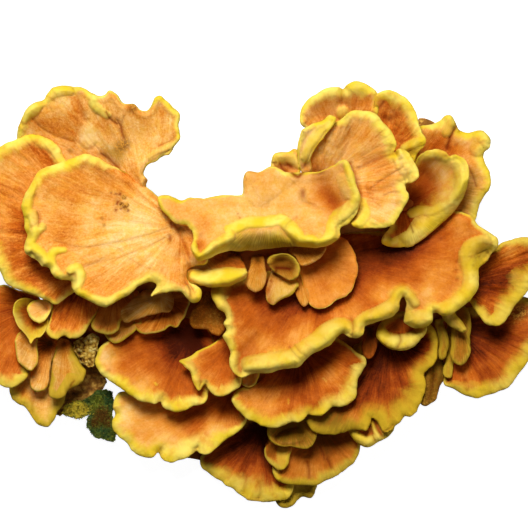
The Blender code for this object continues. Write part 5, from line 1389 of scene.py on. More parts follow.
class Shelf:
    """One shelf: its margin as a fine curve, and its surfaces as heights over the sheet."""

    def __init__(self, name, number):
        self.name, self.seed = name, SEED_STEP * number + FIRST_SEED
        spec = SHELVES[name]
        self.look = {**PLAIN, **LOOKS.get(name, {})}
        self.root, (self.rim_thick, self.root_thick) = np.array(spec["root"], float), spec["thick"]
        self.dish, self.nose = spec["dish"], spec["nose"]
        knots = np.array([(*m[:3], m[3] if len(m) > 3 else NO_FOLD) for m in spec["rim"]], float)
        curve = closed_curve(knots, STEP)
        self.outline = curve[:, :2]
        gaps = np.linalg.norm(self.outline - np.roll(self.outline, 1, axis=0), axis=1)
        self.along = np.cumsum(gaps)
        steps = inward(self.outline)
        wobble = sum(
            width * noise(self.along / length, 0.5, self.seed + i)
            for i, (length, width) in enumerate(WOBBLES)
        )
        from_ends = np.minimum(self.along, self.along[-1] - self.along)
        wobble *= np.clip(from_ends / WOBBLE_START, 0.0, 1.0)
        self.outline = self.outline - steps * wobble[:, None]
        self.margin_z, self.fold = curve[:, 2], np.maximum(curve[:, 3], NO_FOLD)
        course = ring_mean(self.outline, round(LOBE_REACH / STEP))
        self.lobe = ((course - self.outline) * steps).sum(1)
        self.gaps = gaps
        self.band = spread(self.outline, self.look["band"])

    def fields(self, points):
        """Where each point lies: distances from the margin and the root, and the margin beside it."""
        margin, side = nearest(points, self.outline)
        near_blur, far_blur = 0.3, 1.0
        sums = np.zeros(len(points))
        margin_z, fold, total = np.zeros((3, len(points)))
        for start in range(0, len(points), BLOCK):
            some = slice(start, start + BLOCK)
            square = ((points[some, None] - self.outline[None]) ** 2).sum(2)
            sums[some] = (self.gaps / (square + near_blur) ** 2).sum(1)
            near = self.gaps / (square + far_blur) ** 1.5
            total[some] = near.sum(1)
            margin_z[some] = near @ self.margin_z / total[some]
            fold[some] = near @ self.fold / total[some]
        # Beside a straight margin this sum gives the distance itself, and round a bend it changes smoothly.
        soft = (2.0 / math.pi * sums) ** (-1.0 / 3.0)
        roll, gold = self.rolls(points)
        crease, dark = self.creases(points)
        offset = points - self.root[:2]
        from_root = np.linalg.norm(offset, axis=1)
        away = points.mean(0) - self.root[:2]
        turn = np.arctan2(offset[:, 1], offset[:, 0]) - math.atan2(away[1], away[0])
        turn = (turn + math.pi) % math.tau - math.pi
        return dict(
            x=points[:, 0], y=points[:, 1], margin=margin, along=self.along[side],
            lobe=self.lobe[side], band=self.band[side], margin_z=margin_z,
            fold=np.maximum(fold, NO_FOLD), turn=turn, from_root=from_root,
            reach=from_root / (from_root + soft),
            roll=roll, gold=gold, crease=crease, dark=dark, stain=blobs(points, self.look["stains"]),
            spot=blobs(points, self.look["spots"]), olive=self.olives(points),
        )

    def rolls(self, points):
        """Height of the rolled folds over each point, and how yellow they are."""
        height, gold = np.zeros(len(points)), np.zeros(len(points))
        for lift, yellow, path in self.look["rolls"]:
            length, radius = beside(points, round_path(path))
            profile = np.sqrt(np.clip(1.0 - (length / radius) ** 2, 0.0, 1.0))
            height = np.maximum(height, RELIEF_RISE * lift * radius * profile)
            gold = np.maximum(gold, yellow * np.sqrt(profile))
        return height, gold

    def creases(self, points):
        """Depth of the creases at each point, and how much painted shade darkens them."""
        depth, dark = np.zeros(len(points)), np.zeros(len(points))
        for width, deep, strength, path in self.look["creases"]:
            length, _ = beside(points, round_path(path))
            profile = CREASE_SHARES[0] * np.exp(-((length / width) ** 2))
            profile += CREASE_SHARES[1] * np.exp(-((length / (CREASE_SPREAD * width)) ** 2))
            depth = np.maximum(depth, RELIEF_RISE * deep * profile)
            dark = np.maximum(dark, strength * profile)
        return depth, dark

    def olives(self, points):
        """How green-brown the flesh is at each point: partly its own cast and partly painted shade on faces
        turned from the light.
        """
        strength = np.full(len(points), float(self.look["olive"]))
        for amount, path in self.look["olives"]:
            length, radius = beside(points, round_path(path))
            strength = np.maximum(strength, amount * np.exp(-((length / radius) ** 2)))
        return strength

    def relief(self, f):
        """What stands above or below the plain shelf: swellings, furrows, and the puffed margin."""
        seed, look, margin, along = self.seed, self.look, f["margin"], f["along"]
        swell = sum(share * noise(f["x"] / size, f["y"] / size, seed + i) for size, share, i in SWELLS)
        furrow = sum(
            share * noise(f["turn"] * number, f["from_root"] / length, seed + i)
            for number, length, share, i in FURROWS
        )
        furrow *= look["groove"] * np.clip(f["from_root"] / FURROW_START, 0.0, 1.0)
        crest = np.exp(-(((margin - CREST_PLACE * self.nose) / (CREST_WIDTH * self.nose)) ** 2))
        puffed = PUFF_MEAN + PUFF_SWING * noise(along / PUFF_LENGTH, 0.5, seed + 5)
        puff = look["bead"] * np.clip(puffed, *PUFF_RANGE) * crest
        ruffle = look["ruffle"] * f["lobe"] * np.exp(-margin / RUFFLE_REACH)
        place_on = along / PLEAT_WIDTH + PLEAT_SWAY * noise(margin / PLEAT_WIDTH, 0.5, seed)
        pleat = noise(place_on, margin / PLEAT_LENGTH, seed + 6)
        pleat = look["pleat"] * pleat * np.exp(-margin / PLEAT_REACH)
        edge = np.clip(margin / EDGE_REACH, 0.0, 1.0)
        raised = f["roll"] - f["crease"] * edge
        return look["swell"] * swell + furrow * edge + puff + ruffle + pleat * edge + raised

    def faces(self, f):
        """Heights of the upper and lower faces."""
        upper = self.root[2] + (f["margin_z"] - self.root[2]) * f["reach"] ** self.dish
        turned = np.clip(1.0 - f["margin"] / f["fold"], 0.0, 1.0)
        upper = upper - FOLD_FALL * f["fold"] * turned**FOLD_POWER + self.relief(f)
        depth = self.root_thick + (self.rim_thick - self.root_thick) * f["reach"] ** TAPER
        round_off = np.sqrt(1.0 - (1.0 - np.clip(f["margin"] / self.nose, 0.0, 1.0)) ** 2)
        middle = upper - self.rim_thick / 2
        lower = middle - (depth - self.rim_thick / 2) * round_off
        return middle + self.rim_thick / 2 * round_off, np.maximum(lower, LOWEST)

    def tone(self, f):
        """How dark the flesh is at each point, from 0 to 1: partly its own redder colour towards the root,
        partly painted shade where the shelves above cover it.
        """
        return np.interp(f["reach"], TONE_PLACES, self.look["tone"]) + f["spot"]

    def crease_rows(self, line, width):
        """Rows of points along both sides of a thin crease, so that it is drawn sharp."""
        ahead = np.gradient(line, axis=0)
        across = ahead[:, ::-1] * (1, -1) / np.linalg.norm(ahead, axis=1)[:, None]
        rows = np.concatenate([line + across * width * share for share in FINE_ROWS])
        rows = rows[inside(rows, self.outline)]
        return rows[nearest(rows, self.outline)[0] > EDGE_ROWS[-1] + FINE_MARGIN]

    def build(self):
        """The shelf as an object, with what its material needs to know at every point."""
        steps = inward(self.outline)
        rows = []
        for inset in EDGE_ROWS:
            row = self.outline + steps * inset
            row = row[inside(row, self.outline)]
            rows.append(row[nearest(row, self.outline)[0] > SIDE_CLEAR * inset])
        rim_count = len(self.outline)
        between = staggered(self.outline, STEP, EDGE_ROWS[-1] + GRID_MARGIN)
        for width, _, _, path in self.look["creases"]:
            if width > FINE_WIDTH:
                continue
            line = round_path(path, FINE_STEP)[:, :2]
            between = between[beside(between, line)[0] > FINE_CLEAR * width]
            rows.append(self.crease_rows(line, width))
        tops = np.concatenate([*rows, between])
        lows = np.concatenate([*rows[1:], staggered(self.outline, UNDER_STEP, UNDER_STEP)])
        top_faces = triangles_over(self.outline, tops)
        low_faces = triangles_over(self.outline, lows)
        low_faces = np.where(low_faces >= rim_count, low_faces + len(tops), low_faces)[:, ::-1]
        f = self.fields(np.concatenate([self.outline, tops, lows]))
        upper, lower = self.faces(f)
        below = np.arange(len(upper)) >= rim_count + len(tops)
        height = np.where(below, lower, upper)
        points = place(f["x"], f["y"], height)
        faces = np.concatenate([top_faces, low_faces])
        a, b, c = points[top_faces[0]]
        if np.cross(b - a, c - a)[2] < 0:
            faces = faces[:, ::-1]
        made = mesh_object(self.name, points, faces)
        rim = np.arange(len(upper)) < rim_count
        number = np.full(len(upper), float(self.seed))
        for key, values in (
            ("below", np.where(below, 1.0, np.where(rim, RIM_BELOW, 0.0))),
            ("margin", f["margin"]),
            ("band", f["band"]),
            # darkness that is partly the flesh's own colour and partly painted shade
            ("tone", self.tone(f)),
            ("fan", np.stack([f["turn"] * STREAKS, f["from_root"] / STREAK_LENGTH, number], axis=1)),
            ("lanes", np.stack([f["along"] / LANE_WIDTH, f["margin"] / LANE_LENGTH, number], axis=1)),
            # painted shade in the creases, real stains, and the yellow of the folds
            ("crease_shade_stain_gold", np.stack([f["dark"], f["stain"], f["gold"]], axis=1)),
            # a green-brown cast, partly the flesh's own and partly painted shade
            ("olive", f["olive"]),
            ("streaky", np.full(len(upper), float(self.look["streak"]))),
            ("grainy", np.full(len(upper), float(self.look["grain"]))),
            # painted shade of the margin's yellow on shelves lower down
            ("margin_shade", np.full(len(upper), float(self.look["margin_shade"]))),
        ):
            add_values(made, key, values)
        self.top_count = rim_count + len(tops)
        return made


def mesh_object(name, points, faces):
    """A smooth mesh in the scene, under this name with _look after it."""
    mesh = bpy.data.meshes.new(name)
    mesh.from_pydata(points.tolist(), [], faces.tolist())
    mesh.shade_smooth()
    made = bpy.data.objects.new(name + "_look", mesh)
    bpy.context.scene.collection.objects.link(made)
    return made


def add_values(item, name, values):
    """Values for the material, one number or one vector to each point."""
    kind, field = ("FLOAT", "value") if values.ndim == 1 else ("FLOAT_VECTOR", "vector")
    layer = item.data.attributes.new(name, kind, "POINT")
    layer.data.foreach_set(field, values.astype(np.float32).ravel())


# ---- how hidden each point is from the sky, for the painted shade in the flesh ----

SKY_TILT = 0.35  # the sky's brightest part leans this far towards +Y
SKY_RAYS = 18
SKY_REACH = 70 * MM  # solids further off than this hide nothing
SKY_LIFT = 1.5 * MM  # rays start this far off the surface
SKY_LEVEL = 0.15  # no ray is lower than this
SKY_GRAZE = 0.15  # weight of a ray along the surface
SKY_PAST = 0.7  # how much of the sky shows past a solid at the far end of a ray


def sky_directions():
    """Directions spread evenly about the brightest part of the sky."""
    turns = math.pi * (3.0 - math.sqrt(5.0))
    found = []
    for i in range(SKY_RAYS):
        rise = 1.0 - (1.0 - SKY_LEVEL) * (i + 0.5) / SKY_RAYS
        level = math.sqrt(1.0 - rise * rise)
        step = Vector((level * math.cos(turns * i), level * math.sin(turns * i), rise))
        found.append((step + Vector((0.0, SKY_TILT, 0.0))).normalized())
    return found


def tree_without(skip):
    """A search tree of all the frame's solids but these."""
    points, faces = [], []
    for name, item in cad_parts.items():
        if name not in skip:
            start = len(points)
            points.extend(vertex.co for vertex in item.data.vertices)
            faces.extend([start + i for i in face.vertices] for face in item.data.polygons)
    return BVHTree.FromPolygons(points, faces)


def add_occlusion_shade(made, skip, count):
    """How much of the sky the other pieces hide from each of the first so many points, which the flesh
    material paints in as shade.
    """
    tree, rays = tree_without(skip), sky_directions()
    occlusion_shade = np.zeros(len(made.data.vertices))
    normals = made.data.vertex_normals
    for i in range(count):
        normal = normals[i].vector
        start = made.data.vertices[i].co + normal * SKY_LIFT
        seen = weights = 0.0
        for ray in rays:
            weight = max(normal.dot(ray), 0.0) + SKY_GRAZE
            hit = tree.ray_cast(start, ray, SKY_REACH)[3]
            weights += weight
            seen += weight * (1.0 if hit is None else min(hit / SKY_REACH, 1.0) * SKY_PAST)
        occlusion_shade[i] = 1.0 - seen / weights
    add_values(made, "occlusion_shade", occlusion_shade)


# ---- materials ----


def linear(red, green, blue):
    """A colour as the shader takes it, from 0 to 255 values."""
    return tuple(
        value / 12.92 if value <= 0.04045 else ((value + 0.055) / 1.055) ** 2.4
        for value in (red / 255, green / 255, blue / 255)
    ) + (1.0,)


class Look:
    """A material that is put together node by node."""

    def __init__(self, name, roughness=0.6, specular=0.3):
        self.material = bpy.data.materials.new(name)
        self.material.use_nodes = True
        self.tree = self.material.node_tree
        self.shader = self.tree.nodes["Principled BSDF"]
        self.shader.inputs["Roughness"].default_value = roughness
        self.shader.inputs["Specular IOR Level"].default_value = specular

    def add(self, kind, inputs, output=0, **settings):
        made = self.tree.nodes.new("ShaderNode" + kind)
        for key, value in settings.items():
            setattr(made, key, value)
        for key, value in inputs.items():
            if isinstance(value, bpy.types.NodeSocket):
                self.tree.links.new(value, made.inputs[key])
            else:
                made.inputs[key].default_value = value
        return made.outputs[output]

    def attribute(self, name, vector=False):
        vector_output, number_output = 1, 2
        return self.add("Attribute", {}, vector_output if vector else number_output, attribute_name=name)

    def math(self, operation, a, b=0.0):
        return self.add("Math", {0: a, 1: b}, operation=operation)

    def plus(self, a, b):
        return self.math("ADD", a, b)

    def times(self, a, b):
        return self.math("MULTIPLY", a, b)

    def swing(self, pattern, strength=1.0):
        """A pattern about 0.5 made one about zero."""
        return self.times(self.math("SUBTRACT", pattern, 0.5), strength)

    def noise(self, vector, scale, detail=3.0, rough=0.55):
        inputs = {"Vector": vector, "Scale": scale, "Detail": detail, "Roughness": rough}
        return self.add("TexNoise", inputs)

    def between(self, value, low, high, start=0.0, end=1.0):
        """start where the value is low, end where it is high, and smooth between."""
        inputs = {"Value": value, "From Min": low, "From Max": high, "To Min": start, "To Max": end}
        return self.add("MapRange", inputs, interpolation_type="SMOOTHSTEP")

    def ramp(self, value, stops):
        made = self.tree.nodes.new("ShaderNodeValToRGB")
        self.tree.links.new(value, made.inputs[0])
        places = made.color_ramp.elements
        while len(places) < len(stops):
            places.new(0.5)
        for element, (place_on, shade) in zip(places, stops):
            element.position, element.color = place_on, shade
        return made.outputs[0]

    def mix(self, share, a, b, blend="MIX"):
        first, second, result = 6, 7, 2  # the node's sockets for colours
        inputs = {0: share, first: a, second: b}
        return self.add("Mix", inputs, result, data_type="RGBA", blend_type=blend)

    def cells(self, vector, scale):
        """Distance from the middle of the nearest cell."""
        return self.add("TexVoronoi", {"Vector": vector, "Scale": scale})

    def bump(self, height, distance):
        return self.add("Bump", {"Height": height, "Distance": distance})

    def link(self, socket, value):
        self.tree.links.new(value, self.shader.inputs[socket])

    def object_place(self):
        return self.tree.nodes.new("ShaderNodeTexCoord").outputs["Object"]


FLESH_TONES = (
    (0.0, linear(254, 214, 144)),
    (0.2, linear(244, 183, 102)),
    (0.4, linear(229, 147, 60)),
    (0.6, linear(196, 100, 27)),
    (0.8, linear(144, 58, 10)),
    (1.0, linear(70, 21, 3)),
)
# The last is the painted shade that darkens the creases.
WARM_TINT, NO_TINT, CREASE_SHADE = linear(250, 238, 178), linear(255, 255, 255), linear(150, 84, 56)
SULPHUR, PALE_SULPHUR = linear(236, 202, 42), linear(252, 228, 106)
# The second and third are the margin's yellow dulled by painted shade: on lower shelves, and where other
# pieces hide the sky.
BLUSHED, SHADED_SULPHUR, SHADED, FLECKED = (
    linear(232, 168, 60), linear(206, 168, 38), linear(176, 140, 30), linear(206, 150, 34),
)
# The last is a green-brown cast, partly the flesh's own and partly painted shade.
WORN_DARK, WORN_LIGHT, OLIVE = linear(118, 62, 18), linear(226, 160, 62), linear(138, 104, 22)
PORE_DARK, PORE_LIGHT = linear(176, 140, 36), linear(236, 206, 92)

BASE_LIGHT, BASE_DARK = linear(238, 204, 118), linear(214, 164, 72)
BASE_THREAD, BASE_PORE = linear(168, 106, 42), linear(150, 104, 30)
CUT_LIGHT, CUT_DARK = linear(246, 222, 168), linear(206, 156, 92)
DEEP_LIGHT, DEEP_DARK = linear(176, 96, 34), linear(138, 66, 22)

BARK_TONES = ((0.3, linear(86, 50, 18)), (0.5, linear(160, 106, 40)), (0.62, linear(226, 176, 80)))
CRUMB_TONES = (
    (0.26, linear(84, 46, 12)), (0.4, linear(176, 128, 44)), (0.56, linear(224, 182, 76)),
    (0.74, linear(248, 222, 136)),
)
MOSS_DARK, MOSS_LIGHT, MOSS_DEEP = linear(74, 104, 52), linear(134, 142, 46), linear(34, 28, 8)
MOSS_WILTED, MOSS_LIT = linear(112, 74, 24), linear(226, 200, 62)


def flesh_look():
    """Flesh that is orange with streaks from the root, yellow towards the margin and pored below, with
    painted shade where other pieces hide the sky, in creases and on the margins of lower shelves.
    """
    look = Look("flesh_skin", 0.62, 0.05)
    here, fan, lanes = look.object_place(), look.attribute("fan", True), look.attribute("lanes", True)
    margin, occlusion_shade, below = (look.attribute(name) for name in ("margin", "occlusion_shade", "below"))
    band, streaky, gain = (look.attribute(name) for name in ("band", "streaky", "grainy"))
    crease_shade_stain_gold = look.add("SeparateXYZ", {0: look.attribute("crease_shade_stain_gold", True)}).node.outputs
    # the first of these is the painted shade in the creases
    crease, stain, gold = crease_shade_stain_gold[0], crease_shade_stain_gold[1], crease_shade_stain_gold[2]
    sideways = {0: look.noise(here, 28.0, 3.0), 1: (3.2, 0.0, 0.0)}
    bend = look.add("VectorMath", sideways, operation="MULTIPLY")
    fan = look.add("VectorMath", {0: fan, 1: bend}, operation="ADD")
    streak = look.noise(fan, 1.3, 6.0, 0.65)
    broad = look.noise(fan, 0.3, 2.0)
    blotch = look.noise(here, 42.0, 5.0, 0.6)
    grain = look.noise(here, 480.0, 4.0, 0.75)
    fine = look.noise(fan, 3.4, 3.0, 0.7)
    flush = look.noise(here, 110.0, 6.0, 0.75)

    shade = look.attribute("tone")
    for pattern, strength in (
        (streak, streaky), (fine, look.times(streaky, 0.9)), (broad, look.times(streaky, 1.2)),
        (blotch, 0.46), (grain, look.times(gain, 1.4)),
    ):
        shade = look.plus(shade, look.swing(pattern, strength))
    # painted shade: the flesh darkens where other pieces hide the sky
    colour = look.ramp(look.plus(shade, look.times(occlusion_shade, 0.2)), FLESH_TONES)
    warm = look.mix(look.between(flush, 0.36, 0.64), WARM_TINT, NO_TINT)
    colour = look.mix(1.0, colour, warm, "MULTIPLY")

    depth = look.math("DIVIDE", margin, look.math("MAXIMUM", band, 0.5))
    for pattern, strength in (
        (look.noise(lanes, 1.0, 4.0, 0.6), 1.0), (blotch, 0.7), (look.noise(here, 24.0, 3.0), 1.3),
    ):
        depth = look.plus(depth, look.swing(pattern, strength))
    yellow = look.times(look.between(depth, 0.3, 1.4, 0.97, 0.0), look.between(band, 0.0, 1.0))
    yellow = look.math("MAXIMUM", yellow, gold)
    edge = look.mix(look.between(look.noise(here, 38.0, 4.0), 0.35, 0.68), SULPHUR, PALE_SULPHUR)
    edge = look.mix(look.between(look.noise(here, 58.0, 5.0, 0.6), 0.52, 0.7, 0.0, 0.6), edge, BLUSHED)
    # painted shade: the margin's yellow is dulled on shelves lower down
    edge = look.mix(look.attribute("margin_shade"), edge, SHADED_SULPHUR)
    # painted shade: the margin's yellow turns dull where other pieces hide the sky
    edge = look.mix(look.between(occlusion_shade, 0.3, 0.9), edge, SHADED)
    edge = look.mix(look.between(grain, 0.35, 0.2, 0.0, 0.35), edge, FLECKED)
    colour = look.mix(yellow, colour, edge)

    speck = look.noise(here, 330.0, 5.0, 0.75)
    worn = look.mix(look.between(speck, 0.42, 0.6), WORN_DARK, WORN_LIGHT)
    colour = look.mix(look.between(look.plus(stain, look.swing(speck)), 0.25, 0.75), colour, worn)
    # a green-brown cast, partly the flesh's own and partly painted shade
    green = look.times(look.attribute("olive"), look.between(streak, 0.35, 0.6, 0.6, 1.0))
    green = look.times(green, look.math("SUBTRACT", 1.0, gold))
    colour = look.mix(green, colour, OLIVE)
    # painted shade in the creases
    colour = look.mix(crease, colour, CREASE_SHADE, "MULTIPLY")

    pored = look.mix(look.between(look.cells(here, 1400.0), 0.1, 0.5), PORE_DARK, PORE_LIGHT)
    look.link("Base Color", look.mix(look.between(below, 0.5, 1.0), colour, pored))
    look.link("Roughness", look.between(blotch, 0.3, 0.7, 0.5, 0.72))
    rise = look.plus(look.times(streak, 0.6), look.times(grain, 0.8))
    rise = look.plus(rise, look.times(look.times(speck, stain), 2.0))
    look.link("Normal", look.bump(rise, 0.9 * MM))
    return look.material


def base_look():
    """Fleshy sides with upright threads and pores, a pale cut face below and redder flesh above."""
    look = Look("base_skin", 0.8, 0.1)
    here, up = look.object_place(), look.attribute("up")
    patch = look.noise(here, 26.0, 5.0)
    scale = (190.0, 190.0, 26.0)  # threads are thin across and long upwards
    thread = look.noise(look.add("Mapping", {"Vector": here, "Scale": scale}), 1.0, 5.0, 0.65)
    pores = look.cells(here, 900.0)
    side = look.mix(look.between(patch, 0.35, 0.65), BASE_DARK, BASE_LIGHT)
    side = look.mix(look.between(thread, 0.4, 0.7, 0.0, 0.6), side, BASE_THREAD)
    side = look.mix(look.between(pores, 0.45, 0.1, 0.0, 0.35), side, BASE_PORE)
    cut = look.mix(look.between(look.noise(here, 210.0, 5.0, 0.7), 0.4, 0.66), CUT_LIGHT, CUT_DARK)
    deep = look.mix(look.between(patch, 0.35, 0.65), DEEP_DARK, DEEP_LIGHT)
    colour = look.mix(look.between(up, -0.9, -0.5), cut, side)
    look.link("Base Color", look.mix(look.between(up, 0.1, 0.6), colour, deep))
    look.link("Normal", look.bump(look.math("SUBTRACT", thread, look.times(pores, 0.3)), 1.4 * MM))
    look.link("Roughness", look.between(patch, 0.3, 0.7, 0.68, 0.9))
    return look.material


def bark_look():
    """Crumbling dark wood."""
    look = Look("bark_skin", 0.9, 0.15)
    crust = look.noise(look.object_place(), 120.0, 6.0, 0.65)
    look.link("Base Color", look.ramp(crust, BARK_TONES))
    look.link("Normal", look.bump(crust, 3.0 * MM))
    look.link("Roughness", look.between(crust, 0.3, 0.7, 0.75, 0.98))
    return look.material


def crumb_look():
    """Pale old flesh that falls into crumbs, dark between them."""
    look = Look("crumb_skin", 0.9, 0.1)
    here = look.object_place()
    crumbs = look.cells(here, 260.0)
    lump = look.noise(here, 150.0, 6.0, 0.7)
    shade = look.math("SUBTRACT", look.plus(lump, 0.3), look.times(crumbs, 0.6))
    look.link("Base Color", look.ramp(shade, CRUMB_TONES))
    look.link("Normal", look.bump(look.math("SUBTRACT", lump, crumbs), 6.0 * MM))
    look.link("Roughness", look.between(lump, 0.3, 0.7, 0.95, 0.8))
    return look.material


def moss_look():
    """Green moss, yellow where it is lit and brown where it has wilted."""
    look = Look("moss_skin", 0.9, 0.1)
    here = look.object_place()
    tuft = look.noise(here, 60.0, 4.0)
    fleck = look.noise(here, 330.0, 4.0, 0.7)
    loose = look.swing(fleck)
    colour = look.mix(look.between(tuft, 0.38, 0.6), MOSS_DARK, MOSS_LIGHT)
    for name, full, tint in (("wilt", 0.7, MOSS_WILTED), ("lit", 0.8, MOSS_LIT)):
        share = look.between(look.plus(look.attribute(name), loose), 0.3, full)
        colour = look.mix(share, colour, tint)
    look.link("Base Color", look.mix(look.between(fleck, 0.5, 0.36, 0.0, 0.7), colour, MOSS_DEEP))
    look.link("Normal", look.bump(fleck, 2.0 * MM))
    look.link("Roughness", look.between(tuft, 0.3, 0.7, 0.8, 0.98))
    return look.material


# ---- rough pieces ----


def refined(source, rounds):
    """A solid's surface in world space, every triangle split into four the given number of times."""
    mesh = source.data
    mesh.calc_loop_triangles()
    points = np.array([source.matrix_world @ vertex.co for vertex in mesh.vertices])
    faces = np.array([triangle.vertices for triangle in mesh.loop_triangles])
    cells = np.round(points / WELD)
    _, first, same = np.unique(cells, axis=0, return_index=True, return_inverse=True)
    points, faces = points[first], same.reshape(-1)[faces]
    for _ in range(rounds):
        ends = np.sort(faces[:, [(0, 1), (1, 2), (2, 0)]], axis=2)
        edges, number = np.unique(ends.reshape(-1, 2), axis=0, return_inverse=True)
        middle = number.reshape(-1, 3) + len(points)
        points = np.concatenate([points, points[edges].mean(1)])
        (a, b, c), (ab, bc, ca) = faces.T, middle.T
        faces = np.concatenate([
            np.stack(corners, axis=1) for corners in ((a, ab, ca), (ab, b, bc), (ca, bc, c), (ab, bc, ca))
        ])
    return points, faces


def rough_copy(name, rounds, depth, size):
    """A finer copy of a solid whose surface is worn inwards in lumps of about the given size."""
    points, faces = refined(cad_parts[name], rounds)
    made = mesh_object(name, points, faces)
    normals = np.array([vertex.normal for vertex in made.data.vertices])
    lump = np.array([fractal(Vector(point) / size, *WEAR_LUMPS) for point in points])
    move = -depth * normals * np.clip(WEAR_MEAN + WEAR_SWING * lump, 0.0, 1.0)[:, None]
    move[points[:, 2] < FLAT_HEIGHT, 2] = 0.0
    made.data.vertices.foreach_set("co", (points + move).ravel())
    made.data.update()
    add_values(made, "up", normals[:, 2])
    return made


def sheet_points(points):
    """Where points in metres are drawn on the layout sheet."""
    x, y, z = points.T / MM
    grow = (EYE_HEIGHT - SHEET_HEIGHT) / (EYE_HEIGHT - z)
    right, down = x + SHEET_ORIGIN[0] - SHEET_EYE[0], SHEET_ORIGIN[1] - SHEET_EYE[1] - y
    return SHEET_EYE + np.stack([right, down], axis=1) * grow[:, None]


def add_moss_colours(made, points, loose):
    """How yellow with painted light and how wilted the moss is at each point."""
    drawn = sheet_points(points)
    for name, spots in (("lit", LIT_MOSS), ("wilt", WILTED_MOSS)):
        add_values(made, name, np.clip(blobs(drawn, spots) + loose, 0.0, 1.0))


def moss_leaves(ground, count, seed):
    """Small pointed leaves standing on all of a piece but what faces down."""
    chance = np.random.default_rng(seed)
    mesh = ground.data
    mesh.calc_loop_triangles()
    triangles = [triangle.vertices for triangle in mesh.loop_triangles]
    corners = np.array([[mesh.vertices[i].co for i in three] for three in triangles])
    normals = np.cross(corners[:, 1] - corners[:, 0], corners[:, 2] - corners[:, 0])
    areas = np.linalg.norm(normals, axis=1)
    areas *= normals[:, 2] > LEAF_LIMIT * areas
    picked = chance.choice(len(corners), count, p=areas / areas.sum())
    share = chance.dirichlet((1, 1, 1), count)
    spots = (corners[picked] * share[..., None]).sum(1)
    up = normals[picked] / np.linalg.norm(normals[picked], axis=1)[:, None]
    lean = chance.normal(0.0, LEAF_LEAN, (count, 3)) + up * LEAF_UPRIGHT
    lean /= np.linalg.norm(lean, axis=1)[:, None]
    across = np.cross(lean, chance.normal(0.0, 1.0, (count, 3)))
    across /= np.linalg.norm(across, axis=1)[:, None]
    length = chance.uniform(*LEAF_LENGTH, count)[:, None]
    width = length * LEAF_SHARE
    points = np.stack([
        spots + lean * length * ahead + across * width * aside - up * length * down
        for ahead, aside, down in LEAF_CORNERS
    ], axis=1).reshape(-1, 3)
    leaf, corner_count = np.array(LEAF_FACES), len(LEAF_CORNERS)
    faces = (leaf[None] + corner_count * np.arange(count)[:, None, None]).reshape(-1, 3)
    made = mesh_object("moss_leaves", points, faces)
    hues = chance.normal(0.0, LEAF_HUES, count)
    add_moss_colours(made, points, np.repeat(hues, corner_count))
    return made


# ---- scene ----


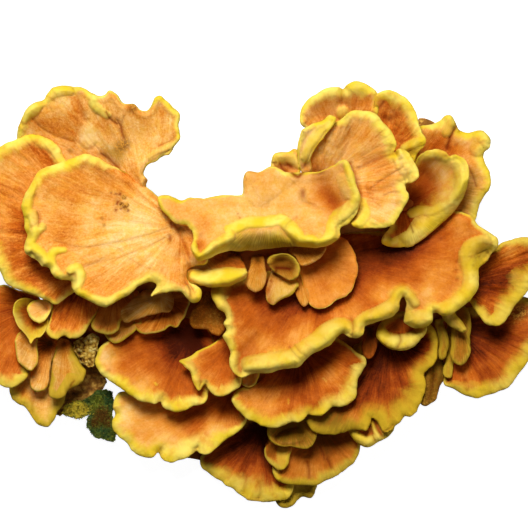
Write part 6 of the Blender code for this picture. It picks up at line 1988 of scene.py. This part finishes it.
def make_stage():
    """A pale floor under the cut face, a broad key light from the notch's side, soft fill from the
    front and a low lamp on either side that reaches under the shelves."""
    half = FLOOR_HALF
    ring = ((-half, -half), (half, -half), (half, half), (-half, half))
    corners = np.array([(x, y, FLOOR_HEIGHT) for x, y in ring])
    floor = mesh_object("floor", corners, np.array([(0, 1, 2, 3)]))
    look = Look("floor_paper", 0.9, 0.1)
    look.shader.inputs["Base Color"].default_value = (FLOOR_SHADE, FLOOR_SHADE, FLOOR_SHADE, 1.0)
    look.shader.inputs["Emission Color"].default_value = (1.0, 1.0, 1.0, 1.0)
    look.shader.inputs["Emission Strength"].default_value = FLOOR_GLOW
    floor.data.materials.append(look.material)
    floor.visible_diffuse = floor.visible_glossy = False
    for name, spot, side, power in LAMPS:
        light = bpy.data.lights.new(name, "AREA")
        light.size, light.energy = side, power
        lamp = bpy.data.objects.new(name, light)
        lamp.location = spot
        lamp.rotation_euler = (-Vector(spot)).to_track_quat("-Z", "Y").to_euler()
        bpy.context.scene.collection.objects.link(lamp)
    world = bpy.data.worlds.new("studio")
    world.use_nodes = True
    nodes, links = world.node_tree.nodes, world.node_tree.links
    direction = nodes.new("ShaderNodeSeparateXYZ")
    links.new(nodes.new("ShaderNodeTexCoord").outputs["Generated"], direction.inputs[0])
    rise = nodes.new("ShaderNodeMapRange")
    links.new(direction.outputs["Z"], rise.inputs["Value"])
    for limit, (height, strength) in (("Min", SKY_LOW), ("Max", SKY_HIGH)):
        rise.inputs["From " + limit].default_value = height
        rise.inputs["To " + limit].default_value = strength
    links.new(rise.outputs[0], nodes["Background"].inputs["Strength"])
    bpy.context.scene.world = world
    bpy.context.scene.view_settings.view_transform = "Standard"


def make_camera():
    """A camera at the eye of the layout sheet, which looks straight down and just takes it in."""
    camera = bpy.data.cameras.new("camera")
    camera.sensor_width = 36.0
    camera.lens = camera.sensor_width * (EYE_HEIGHT - SHEET_HEIGHT) / SHEET_SIDE
    eye = bpy.data.objects.new("camera", camera)
    eye.location = place(*SHEET_EYE, SHEET_HEIGHT)
    eye.location.z = EYE_HEIGHT * MM
    bpy.context.scene.collection.objects.link(eye)
    bpy.context.scene.camera = eye


# Shelves that are grown together are one piece, in place of these solids.
NODES_OF = {
    "middle": ("middle_left", "middle_right"),
    "left_upper": ("left_upper", "left_upper_lobe"),
}
# Pieces that are rough all over, as (material, times split, depth of wear, size of its lumps, slot)
ROUGH = {
    "base": (base_look, 3, 2.4 * MM, 14.0 * MM, "cut_flesh"),
    "bark": (bark_look, 3, 3.0 * MM, 7.0 * MM, "bark"),
    "twig": (bark_look, 2, 0.8 * MM, 4.0 * MM, "bark"),
    "moss": (moss_look, 3, 3.0 * MM, 8.0 * MM, "moss"),
    "old_flesh": (crumb_look, 3, 3.2 * MM, 6.0 * MM, "flesh"),
}


def main():
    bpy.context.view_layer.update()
    flesh = flesh_look()
    for number, name in enumerate(SHELVES):
        shelf = Shelf(name, number)
        made = shelf.build()
        nodes = NODES_OF.get(name, (name,))
        # the sky hidden at each point, for the painted shade in the flesh
        add_occlusion_shade(made, nodes, shelf.top_count)
        made.data.materials.append(flesh)
        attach(made, "root")
        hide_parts(*nodes)
    for name, (look, rounds, depth, size, slot) in ROUGH.items():
        made = rough_copy(name, rounds, depth, size)
        made.data.materials.append(look())
        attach(made, "root")
        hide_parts(name)
        if name == "moss":
            place_of = np.array([vertex.co for vertex in made.data.vertices])
            add_moss_colours(made, place_of, np.zeros(len(place_of)))
            leaves = moss_leaves(made, LEAVES, seed=5)
            leaves.data.materials.append(made.data.materials[0])
            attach(leaves, "root")
    make_stage()
    make_camera()
    bpy.context.view_layer.update()


main()
